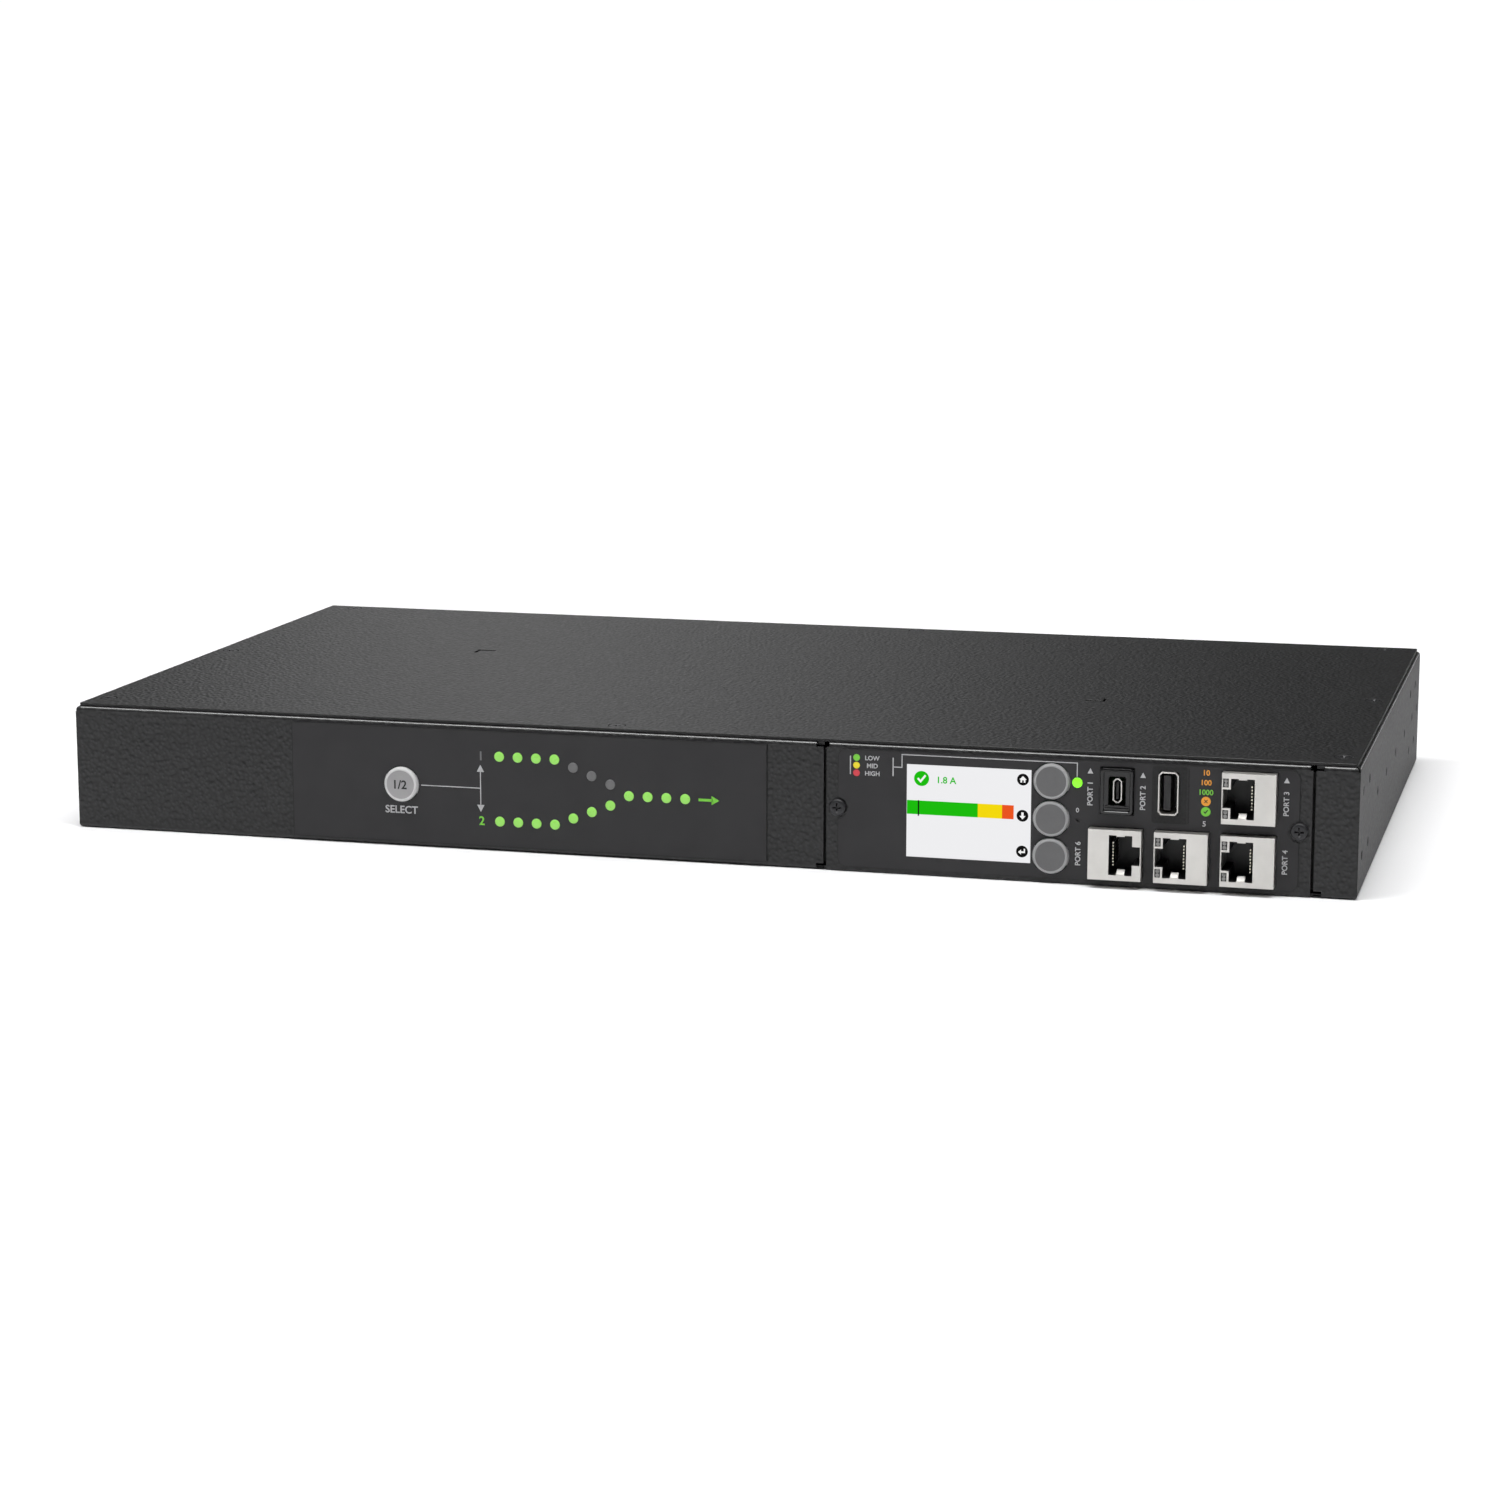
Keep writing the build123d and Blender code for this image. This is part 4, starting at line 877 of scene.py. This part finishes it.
class ShadeBay(Operator):
    """Set black strips in the gaps beside the module, painted shade that keeps the gaps dark"""

    bl_idname = "switch.seal_bay"
    bl_label = "Bay seals"

    def execute(self, context):
        near = FRONT + BAY_SHADE_BACK
        far = near + BAY_SHADE_DEEP
        foot, head = PLATE_LOW.z + BAY_SHADE_BELOW, PLATE_HIGH.z - BAY_SHADE_ABOVE
        left = (PLATE_LOW.x - BAY_SHADE_OUT, PLATE_LOW.x - BAY_SHADE_IN)
        right = (PLATE_HIGH.x + BAY_SHADE_IN, PLATE_HIGH.x + BAY_SHADE_OUT)
        bm = bmesh.new()
        for x0, x1 in (left, right):
            outline = [(x0, near), (x1, near), (x1, far), (x0, far)]
            loft(bm, *[[(x, y, z) for x, y in outline] for z in (foot, head)])
        piece(as_mesh(bm, "bay_seals"), "bay_seals", materials=["seal_foam"])
        return {"FINISHED"}


# Bends: radius, distance of a line's end from the corner, rise and sink of the line from the bend
BEND, BEND_END, BEND_RISE, BEND_SINK = 1.4, 1.7, 0.012, 0.06
# Angles in degrees between which the line runs round a bend, and steps between them
FRONT_TURN, SIDE_TURN, TURN_STEPS = (38, 55), (24, 48), 6
# The front's line stops this far outside the plate and goes on this far inside it
BAY_ROOM, PLATE_ROOM = 3.4, 1.0


class SmoothBends(Operator):
    """Lay the smooth coat along the top bends"""

    bl_idname = "switch.smooth_bends"
    bl_label = "Bends"

    def execute(self, context):
        top = TRAY_HIGH.z - BEND
        bm = bmesh.new()

        def line(start, end, out, first, last):
            """Strip of a bend from start to end whose face turns from one angle above `out` to another."""
            steps = range(TURN_STEPS + 1)
            turns = [math.radians(first + (last - first) * i / TURN_STEPS) for i in steps]
            ways = [math.cos(t) * out + math.sin(t) * Vector((0, 0, 1)) for t in turns]
            section = [(BEND + BEND_RISE) * way for way in ways]
            section += [(BEND - BEND_SINK) * way for way in reversed(ways)]
            loft(bm, *[[Vector((*place, top)) + p for p in section] for place in (start, end)])

        near, far = FRONT + BEND, TRAY_HIGH.y - BEND
        left, right = TRAY_LOW.x + BEND, TRAY_HIGH.x - BEND
        first_x, last_x = TRAY_LOW.x + BEND_END, TRAY_HIGH.x - BEND_END
        first_y, last_y = FRONT + BEND_END, TRAY_HIGH.y - BEND_END
        ahead, aside = Vector((0, -1, 0)), Vector((1, 0, 0))
        for x0, x1 in (
            (first_x, PLATE_LOW.x - BAY_ROOM),
            (PLATE_LOW.x + PLATE_ROOM, PLATE_HIGH.x - PLATE_ROOM),
            (PLATE_HIGH.x + BAY_ROOM, last_x),
        ):
            line((x0, near), (x1, near), ahead, *FRONT_TURN)
        line((last_x, far), (first_x, far), -ahead, *FRONT_TURN)
        line((right, first_y), (right, last_y), aside, *SIDE_TURN)
        line((left, last_y), (left, first_y), -aside, *SIDE_TURN)
        mesh = as_mesh(bm, "bend_lines")
        smoothed(mesh)
        piece(mesh, "bend_lines", materials=["bend_coat"])
        return {"FINISHED"}


class SetScrews(Operator):
    """Make the flush cover screws and the module's pan-head screws"""

    bl_idname = "switch.set_screws"
    bl_label = "Screws"

    def execute(self, context):
        flush = [(1.4, -5.0), (1.4, -1.3), (FLUSH_HEAD_R, -0.12), (FLUSH_HEAD_R - 0.1, -0.03), (2.0, 0.0)]
        places = []
        for low, high in solids("cover_screws"):
            places.append(((low.x + high.x) / 2, (low.y + high.y) / 2, high.z - 0.02))
        head = screw_head(flush, arm=1.45, half=0.32, depth=0.8)
        mesh = copies(head, "flush_screws", places, "black_screw")
        piece(mesh, "flush_screws", replaces=["cover_screws"])
        low, high = solids("module_screws")[0]
        radius = (high.z - low.z) / 2
        proud = FRONT - low.y
        pan = [
            (1.4, low.y - high.y + proud), (1.4, 0.0), (radius, 0.0), (radius, proud * 0.45),
            (radius * 0.93, proud * 0.78), (radius * 0.8, proud * 0.95), (radius * 0.62, proud),
        ]
        head = screw_head(pan, arm=radius * 0.54, half=0.3, depth=0.9)
        head.transform(UPRIGHT)
        places = [((a.x + b.x) / 2, FRONT, (a.z + b.z) / 2) for a, b in solids("module_screws")]
        mesh = copies(head, "pan_screws", places, "black_screw")
        piece(mesh, "pan_screws", replaces=["module_screws"])
        return {"FINISHED"}


# First lens as a share of the film's width, and distance to the next
LENS_SHARE, LENS_PITCH = 0.445, 6.36
LENS_X = STATUS_LOW.x + LENS_SHARE * (STATUS_HIGH.x - STATUS_LOW.x)
# Finish and slot of each group, and its rows: first place, its rise above the middle, count, rise to the next
LENS_ROWS = {
    "source_one": ("lamp_lit", "lamp_green", [(0, 10.9, 4, 0.0)]),
    "branch_one": ("lamp_idle", "lamp_idle", [(4, 8.5, 3, -2.5)]),
    "source_two": ("lamp_lit", "lamp_green", [(0, -10.9, 4, 0.0), (4, -8.5, 3, 2.5)]),
    "output": ("lamp_lit", "lamp_green", [(7, 0.0, 4, 0.0)]),
}
JACK_LENS_R, JACK_LENS_RISE, JACK_LENS_PROUD = 0.64, 0.68, 0.3


class SetLenses(Operator):
    """Put round lenses in the films' windows and beside the jacks"""

    bl_idname = "switch.set_lenses"
    bl_label = "Lenses"

    def execute(self, context):
        settings = context.scene.switch_lamps
        radius, proud = settings.radius / MM, settings.proud / MM
        for name, (material, slot, rows) in LENS_ROWS.items():
            places = []
            for first, rise, count, step in rows:
                for i in range(count):
                    x = LENS_X + (first + i) * LENS_PITCH
                    places.append((x, STATUS_FACE, MIDDLE + rise + i * step))
            mesh = domes(f"{name}_lenses", places, material, radius, proud)
            piece(mesh, f"{name}_lenses")
        low, high = corners("status_lamp")
        place = ((low.x + high.x) / 2, MODULE_FACE, (low.z + high.z) / 2)
        mesh = domes("status_lens", [place], "lamp_status", settings.status_radius / MM, proud)
        piece(mesh, "status_lens")
        places = []
        for low, high in solids("jack_lamps"):
            middle = (low + high) / 2
            for side in (-1, 1):
                places.append((middle.x, low.y, middle.z + side * JACK_LENS_RISE))
        mesh = domes("jack_lenses", places, "lamp_clear", JACK_LENS_R, JACK_LENS_PROUD)
        piece(mesh, "jack_lenses")
        return {"FINISHED"}


# Caps: gap before the panel, thickness of the ear, half width of the stem, sides, and first step of the face
CAP_GAP, EAR_THICK, STEM_HALF, CAP_SIDES, FACE_STEP = 0.1, 1.2, 1.8, 72, 5


def cap(node, rim, dish, bevel):
    """Round cap turned about Y, with a rim, a shallow dish and the ear and stem of its CAD node behind."""
    low, high = corners(node)
    x, z = (low.x + high.x) / 2, (low.z + high.z) / 2
    radius = (high.z - low.z) / 2
    face = low.y
    back = FRONT - CAP_GAP
    inner = radius - rim
    profile = [
        (radius, back), (radius, face + bevel), (radius - 0.3 * bevel, face + 0.35 * bevel),
        (radius - 0.8 * bevel, face), (inner + 0.12, face), (inner, face + 0.06),
        (inner - 0.14, face + 0.4 * dish), (inner * 0.5, face + 0.85 * dish), (inner * 0.02, face + dish),
    ]
    bm = bmesh.new()
    rings = [ring(bm, [(x + u, y, z + v) for u, v in circle(r, CAP_SIDES)]) for r, y in profile]
    bm.faces.new(rings[0])
    for i, (outer, nearer) in enumerate(zip(rings, rings[1:])):
        bridge(bm, outer, nearer, int(i >= FACE_STEP))
    bm.faces.new(rings[-1]).material_index = 1
    ear = ((high.x - low.x) / 2, radius / 2, back + EAR_THICK)
    stem = (STEM_HALF, STEM_HALF, high.y)
    for half_x, half_z, end in (ear, stem):
        turns = ((-half_x, -half_z), (half_x, -half_z), (half_x, half_z), (-half_x, half_z))
        loft(bm, *[[(x + u, y, z + v) for u, v in turns] for y in (back, end)])
    mesh = as_mesh(bm, f"{node}_cap")
    smoothed(mesh, 30)
    return mesh, (x, z, face)


class SetCaps(Operator):
    """Make the push button and the keys"""

    bl_idname = "switch.set_caps"
    bl_label = "Button and keys"

    def execute(self, context):
        settings = context.scene.switch_caps
        dish = settings.dish / MM
        mesh, (x, z, face) = cap("preference_button", settings.button_rim / MM, dish, bevel=0.8)
        body = "preference_button_body"
        materials = ["button_rim", "button_face"]
        piece(mesh, "preference_cap", body, materials, ["preference_button"])
        mark = Print(face + dish, thick=0.06)
        mark.words("1/2", x, z, 3.0)
        mark.piece("preference_mark", "ink_black", "button_grey", body)
        for node in ("key_home", "key_scroll", "key_enter"):
            mesh, _ = cap(node, settings.key_rim / MM, dish, bevel=0.7)
            piece(mesh, f"{node}_cap", f"{node}_body", ["key_rim", "key_face"], [node])
        return {"FINISHED"}


class DrawScreen(Operator):
    """Draw what the screen shows"""

    bl_idname = "switch.draw_screen"
    bl_label = "Screen"

    def execute(self, context):
        thick = context.scene.switch_print.thick / MM

        def layer(depth=1):
            return Print(GLASS_FACE, thick * depth)

        sign_x, sign_z, sign_r = 77.5, 31.8, 2.45
        bar_low, bar_high = 20.1, 24.6
        bar_start, safe_end, middle_end, bar_end = 72.8, 95.85, 103.7, 107.45
        level, level_end = 76.35, 76.8
        icon_x, icon_r = 110.3, 1.9
        icons = ((33.1, HOUSE), (21.4, DOWN), (9.8, RETURN))
        green = layer().disc(sign_x, sign_z, sign_r).rect(bar_start, bar_low, safe_end, bar_high)
        green.words("1.8 A", 85.8, sign_z - 0.2, 2.2)
        green.piece("screen_safe_marks", "screen_green", "screen")
        yellow = layer().rect(safe_end, bar_low, middle_end, bar_high)
        yellow.piece("screen_middle_mark", "screen_yellow", "screen")
        orange = layer().rect(middle_end, bar_low, bar_end, bar_high)
        orange.piece("screen_top_mark", "screen_orange", "screen")
        black = layer(2).rect(level, bar_low - 0.5, level_end, bar_high + 0.1)
        white = layer(3).shapes(sign_x, sign_z, sign_r, CHECK)
        for z, outline in icons:
            black.disc(icon_x, z, icon_r)
            white.shapes(icon_x, z, icon_r, outline)
        black.piece("screen_icon_discs", "screen_black", "screen")
        white.piece("screen_icon_signs", "screen_white", "screen")
        return {"FINISHED"}


# Width of the dark band along a film's edge: painted shade of the film's thickness
FILM_SHADE_BAND = 0.24


def film_outline(low, high, corner, inset):
    """Points round a film, set in from its edge."""
    x, z = (low.x + high.x) / 2, (low.z + high.z) / 2
    wide, tall = high.x - low.x - 2 * inset, high.z - low.z - 2 * inset
    return [(x + u, z + v) for u, v in rounded(wide, tall, corner)]


class PrintStatusFilm(Operator):
    """Print the lines, arrows and numbers of the left film"""

    bl_idname = "switch.print_status_film"
    bl_label = "Left film's print"

    def execute(self, context):
        settings = context.scene.switch_print
        thick, rule = settings.thick / MM, settings.rule / MM
        arrow_x, low, high = -71.1, MIDDLE - 8.0, MIDDLE + 7.9
        shaft, barb, head = 1.5, 2.4, 1.25
        lead = BUTTON_X + 6.9
        white = Print(STATUS_FACE, thick)
        white.line([(lead, MIDDLE), (arrow_x - rule / 2, MIDDLE)], rule)
        white.line([(arrow_x, low + shaft), (arrow_x, high - shaft)], rule)
        white.shape([(arrow_x - head, high - barb), (arrow_x + head, high - barb), (arrow_x, high)])
        white.shape([(arrow_x + head, low + barb), (arrow_x - head, low + barb), (arrow_x, low)])
        white.words("SELECT", BUTTON_X - 0.1, MIDDLE - 8.6, 2.6)
        white.piece("status_film_print", "ink_white", "dark_film")
        grey = Print(STATUS_FACE, thick)
        grey.words("1", -70.9, MIDDLE + 10.9, 3.0).piece("source_one_number", "ink_grey", "dark_film")
        green = Print(STATUS_FACE, thick)
        green.words("2", -70.8, MIDDLE - 10.9, 3.0)
        green.line([(3.6, MIDDLE), (8.4, MIDDLE)], 0.9)
        green.shape([(8.0, MIDDLE - 1.5), (10.6, MIDDLE), (8.0, MIDDLE + 1.5)])
        green.piece("source_two_number", "ink_green", "dark_film")
        # Dark band along the film's edge: painted shade of its thickness
        edge = Print(STATUS_FACE, thick)
        edge.band(*[film_outline(STATUS_LOW, STATUS_HIGH, 0.02, inset) for inset in (0.0, FILM_SHADE_BAND)])
        edge.piece("status_film_edge", "dark_edge", "dark_film")
        return {"FINISHED"}


# Dark frame of painted shade round the larger port's recess: room about the shell, width, shift, reach up and
# down, and corners
FRAME_ROOM, FRAME_WIDE, FRAME_SHIFT, FRAME_UP, FRAME_DOWN = 0.3, 11.8, 0.7, 10.4, 9.6
FRAME_CORNER, SHELL_CORNER, FILM_ROOM = 0.8, 1.1, 0.8


def host_frame():
    """Outer and inner outline of the dark frame of painted shade round the larger port, kept on the film."""
    low, high = corners("host_port_shell")
    port = (low + high) / 2
    head = min(port.z + FRAME_UP, MODULE_HIGH.z - FILM_ROOM)
    foot = port.z - FRAME_DOWN
    x, z = port.x + FRAME_SHIFT, (foot + head) / 2
    outer = rounded(FRAME_WIDE, head - foot, FRAME_CORNER)
    inner = rounded(high.x - low.x + FRAME_ROOM, high.z - low.z + FRAME_ROOM, SHELL_CORNER)
    return [(x + u, z + v) for u, v in outer], [(port.x + u, port.z + v) for u, v in inner]


class PrintModuleFilm(Operator):
    """Print the key, lines, numbers and port marks of the module's film"""

    bl_idname = "switch.print_module_film"
    bl_label = "Module film's print"

    def execute(self, context):
        settings = context.scene.switch_print
        thick, rule = settings.thick / MM, settings.rule / MM
        edge, white, green, amber, yellow, red = (Print(MODULE_FACE, thick) for _ in range(6))
        black = Print(MODULE_FACE, thick * 1.6)
        rail_left, rail_right, dot_x, words_x = 54.2, 68.2, 56.2, 61.4
        for x in (rail_left, rail_right):
            white.line([(x, 32.1), (x, 38.1)], rule * 1.2)
        white.line([(rail_right, 35.1), (71.1, 35.1), (71.1, 39.3), (127.6, 39.3), (127.6, 34.9)], rule)
        for ink_of, z, text in ((green, 37.6, "LOW"), (yellow, 35.1, "MID"), (red, 32.6, "HIGH")):
            ink_of.disc(dot_x, z, 1.1)
            white.words(text, words_x, z, 1.5)
        for x, z, number in (
            (131.8, 29.6, 1), (148.5, 29.2, 2), (193.4, 29.6, 3), (193.4, 11.0, 4), (128.2, 10.2, 6)
        ):
            white.words(f"PORT {number}", x, z, 1.75, turn=90)
        for x, z in ((131.8, 37.0), (148.5, 36.4), (193.4, 37.0)):
            white.shape([(x - 0.9, z - 0.8), (x + 0.9, z - 0.8), (x, z + 0.9)])
        white.words("5", 168.0, 21.9, 1.75)
        white.words("0", 127.9, 24.2, 1.5)
        for ink_of, z, text in ((amber, 38.2, "10"), (amber, 35.1, "100"), (green, 32.0, "1000")):
            ink_of.words(text, 168.5, z, 1.75)
        sign_x, sign_r, mark_r = 168.4, 1.5, 1.2
        for ink_of, z, marks in ((amber, 29.1, (CROSS_A, CROSS_B)), (green, 25.8, (CHECK,))):
            ink_of.disc(sign_x, z, sign_r)
            black.shapes(sign_x, z, mark_r, *marks)
        # Thin dark L beside the larger port: painted shadow line of a raised edge
        black.rect(162.3, 21.4, 162.75, 39.6).rect(152.4, 39.5, 162.3, 39.9)
        # Dark bands along the film's edge and round the larger port: painted shade
        shade_band_rims = ((3.0, 0.05), (2.8, FILM_SHADE_BAND))
        edge.band(*[film_outline(MODULE_LOW, MODULE_HIGH, corner, inset) for corner, inset in shade_band_rims])
        edge.band(*host_frame())
        for ink_of, name, material in (
            (edge, "module_film_edge", "dark_edge"),
            (white, "module_film_print", "ink_white"),
            (green, "module_green_marks", "ink_green"),
            (amber, "module_amber_marks", "ink_amber"),
            (yellow, "module_yellow_mark", "ink_yellow"),
            (red, "module_red_mark", "ink_red"),
            (black, "module_black_marks", "ink_black"),
        ):
            ink_of.piece(name, material, "dark_film")
        return {"FINISHED"}


class SetConsoleBezel(Operator):
    """Make the raised frame round the small port"""

    bl_idname = "switch.set_console_bezel"
    bl_label = "Small port's frame"

    def execute(self, context):
        low, high = corners("console_bezel")
        x, z = (low.x + high.x) / 2, (low.z + high.z) / 2
        wide, tall = high.x - low.x, high.z - low.z
        face, back = low.y, high.y
        mouth_wide, mouth_tall = 5.4, 9.2
        # Width, height, corner radius and depth of each step from the outside to the mouth
        sections = [
            (wide, tall, 1.1, back),
            (wide, tall, 1.1, face + 0.5),
            (wide - 0.3, tall - 0.3, 1.0, face + 0.12),
            (wide - 0.8, tall - 0.8, 0.9, face),
            (wide - 1.7, tall - 1.7, 0.7, face),
            (wide - 2.1, tall - 2.1, 0.6, face + 0.2),
            (wide - 2.3, tall - 2.3, 0.6, face + 0.8),
            (mouth_wide + 0.4, mouth_tall + 0.4, 0.7, face + 0.8),
            (mouth_wide, mouth_tall, 0.6, face + 1.0),
            (mouth_wide, mouth_tall, 0.6, back),
        ]
        bm = bmesh.new()
        rings = [ring(bm, [(x + u, y, z + v) for u, v in rounded(w, h, r)]) for w, h, r, y in sections]
        for near, far in zip(rings, rings[1:] + rings[:1]):
            bridge(bm, near, far)
        lip = z - tall / 2 + 1.9
        foot = (rounded(wide - 2.9, 0.32, 0.15, 3), face + 0.8)
        top = (rounded(wide - 3.0, 0.24, 0.1, 3), face + 0.1)
        for rise in (0.0, 0.75):
            loft(bm, *[[(x + u, y, lip + rise + v) for u, v in bar] for bar, y in (foot, top)])
        mesh = as_mesh(bm, "console_frame")
        smoothed(mesh)
        materials = ["gloss_moulding"]
        piece(mesh, "console_frame", materials=materials, replaces=["console_bezel"])
        return {"FINISHED"}


# Jacks with the side of their middle on which the mouth lies
JACK_SIDES = {"network": -1, "link_one": -1, "link_two": -1, "universal": 1}
MOUTH_OFFSET, MOUTH_TALL = 1.9, 12.9
# Section of a bent tab as depth and rise, and half its width
TAB_SECTION = [
    (0.0, -0.3), (0.0, 0.25), (1.9, 1.6), (2.6, 1.45), (2.6, 1.15), (1.85, 1.2), (0.35, 0.1), (0.35, -0.3),
]
TAB_HALF = 1.25


class SetJackTabs(Operator):
    """Put the bent spring tabs at the foot of the jacks' mouths"""

    bl_idname = "switch.set_jack_tabs"
    bl_label = "Jack tabs"

    def execute(self, context):
        bm = bmesh.new()
        loft(bm, *[[(x, y, z) for y, z in TAB_SECTION] for x in (-TAB_HALF, TAB_HALF)])
        places = []
        for jack, side in JACK_SIDES.items():
            low, high = corners(f"{jack}_jack_insert")
            x = (low.x + high.x) / 2 + side * MOUTH_OFFSET
            places.append((x, low.y, (low.z + high.z - MOUTH_TALL) / 2))
        mesh = copies(bm, "jack_tabs", places, "nickel", 25)
        piece(mesh, "jack_tabs")
        return {"FINISHED"}


# Brightness of the sky by the height of the direction, on the right and on the left
RIGHT_SKY = ((0.0, 1.05), (0.022, 1.05), (0.028, 0.01), (0.45, 0.01), (0.75, 0.25))
LEFT_SKY = ((0.0, 1.05), (0.022, 1.05), (0.028, 0.7), (0.45, 0.7), (0.75, 0.25))
# Edges of lit parts of the sky along one axis, each from where there is no light to where there is all
LEFT_X, LEFT_Y = ((-0.13, -0.31), (-0.42, -0.36)), ((-0.2, 0.2),)
OVERHEAD = ((0.5, 0.65),)
FRONT_STRIP_X, FRONT_STRIP_Y, FRONT_TILT = ((-0.52, -0.44), (0.56, 0.48)), ((0.12, 0.08),), 0.18
REAR_STRIP_X, REAR_STRIP_Y, REAR_SHARE = ((0.14, 0.1),), ((0.0, 0.08), (0.62, 0.54)), 0.3


class Sky:
    """Studio light all round: a bright horizon, darker sides and two strips of light overhead."""

    def __init__(self, tree):
        self.tree = tree
        axes = tree.nodes.new("ShaderNodeSeparateXYZ")
        tree.links.new(tree.nodes.new("ShaderNodeTexCoord").outputs["Generated"], axes.inputs["Vector"])
        self.x, self.y, self.z = axes.outputs

    def math(self, operation, first, second=0.0):
        node = self.tree.nodes.new("ShaderNodeMath")
        node.operation = operation
        for socket, value in zip(node.inputs, (first, second)):
            if isinstance(value, float):
                socket.default_value = value
            else:
                self.tree.links.new(value, socket)
        return node.outputs["Value"]

    def within(self, *limits):
        """Share of light where each of some values is inside its edges."""
        share = 1.0
        for value, edges in limits:
            for none, full in edges:
                node = self.tree.nodes.new("ShaderNodeMapRange")
                node.inputs["From Min"].default_value = none
                node.inputs["From Max"].default_value = full
                self.tree.links.new(value, node.inputs["Value"])
                share = self.math("MULTIPLY", share, node.outputs["Result"])
        return share

    def ramp(self, stops):
        node = self.tree.nodes.new("ShaderNodeValToRGB")
        elements = node.color_ramp.elements
        elements.remove(elements[1])
        for place, _ in stops[1:]:
            elements.new(place)
        for element, (_, level) in zip(elements, stops):
            element.color = (level, level, level, 1)
        self.tree.links.new(self.z, node.inputs["Fac"])
        return node.outputs["Color"]

    def light(self, strip):
        left = self.within((self.x, LEFT_X), (self.y, LEFT_Y))
        right = self.math("SUBTRACT", 1.0, left)
        left_sky = self.math("MULTIPLY", self.ramp(LEFT_SKY), left)
        right_sky = self.math("MULTIPLY", self.ramp(RIGHT_SKY), right)
        from_front = self.math("ABSOLUTE", self.math("ADD", self.y, FRONT_TILT))
        from_middle = self.math("ABSOLUTE", self.x)
        front = self.within((from_front, FRONT_STRIP_Y), (self.x, FRONT_STRIP_X), (self.z, OVERHEAD))
        back = self.within((from_middle, REAR_STRIP_X), (self.y, REAR_STRIP_Y), (self.z, OVERHEAD))
        strips = self.math("ADD", front, self.math("MULTIPLY", back, REAR_SHARE))
        sides = self.math("ADD", left_sky, right_sky)
        level = self.math("ADD", sides, self.math("MULTIPLY", strips, strip))
        background = self.tree.nodes["Background"]
        background.inputs["Color"].default_value = (1, 1, 1, 1)
        self.tree.links.new(level, background.inputs["Strength"])


SENSOR = 36
FLOOR_HALF = 12
KEY_PLACE, KEY_SIZE = (-0.8, -1.2, 1.2), 0.5


class DressStage(Operator):
    """Set the camera, the floor and the lights"""

    bl_idname = "switch.dress_stage"
    bl_label = "Stage"

    def execute(self, context):
        scene = context.scene
        settings = scene.switch_stage
        scene.view_settings.view_transform = "Standard"
        camera = linked(bpy.data.cameras.new("camera"), "camera")
        camera.location = settings.place
        camera.rotation_euler = Euler(settings.turn)
        camera.data.lens = settings.lens
        camera.data.sensor_width = SENSOR
        camera.data.clip_start = 0.01
        scene.camera = camera
        bm = bmesh.new()
        bmesh.ops.create_grid(bm, x_segments=8, y_segments=8, size=FLOOR_HALF)
        mesh = bpy.data.meshes.new("floor")
        bm.to_mesh(mesh)
        bm.free()
        floor = linked(mesh, "floor")
        cloth = new_finish("floor", settings.floor, 0.8, patch=400.0, spread=0.01, depth=0.0)
        mesh.materials.append(cloth.material)
        world = bpy.data.worlds.new("studio")
        world.use_nodes = True
        Sky(world.node_tree).light(settings.strip)
        scene.world = world
        light = bpy.data.lights.new("key_light", "AREA")
        light.size = KEY_SIZE
        light.energy = settings.key
        lamp = linked(light, "key_light")
        lamp.location = KEY_PLACE
        lamp.rotation_euler = (-lamp.location).to_track_quat("-Z", "Y").to_euler()
        return {"FINISHED"}


OPERATORS = (
    CoatSheets,
    SetCover,
    SmoothBends,
    ShadeBay,
    SetScrews,
    SetLenses,
    SetCaps,
    DrawScreen,
    PrintStatusFilm,
    PrintModuleFilm,
    SetConsoleBezel,
    SetJackTabs,
    DressStage,
)


class SwitchPanel(Panel):
    """Lists the settings and the steps"""

    bl_idname = "VIEW3D_PT_transfer_switch"
    bl_label = "Transfer Switch"
    bl_space_type = "VIEW_3D"
    bl_region_type = "UI"
    bl_category = "Transfer Switch"

    def draw(self, context):
        layout = self.layout
        for name, group in SETTINGS.items():
            box = layout.box()
            box.label(text=group.__doc__)
            for field in group.__annotations__:
                box.prop(getattr(context.scene, name), field)
        for operator in OPERATORS:
            layout.operator(operator.bl_idname)


def register():
    for group in (*SETTINGS.values(), *OPERATORS, SwitchPanel):
        bpy.utils.register_class(group)
    for name, group in SETTINGS.items():
        setattr(Scene, name, PointerProperty(type=group))


def unregister():
    for name in SETTINGS:
        delattr(Scene, name)
    for group in (SwitchPanel, *reversed(OPERATORS), *SETTINGS.values()):
        bpy.utils.unregister_class(group)


def main():
    register()
    for operator in OPERATORS:
        family, name = operator.bl_idname.split(".")
        getattr(getattr(bpy.ops, family), name)()


if __name__ == "__main__":
    main()
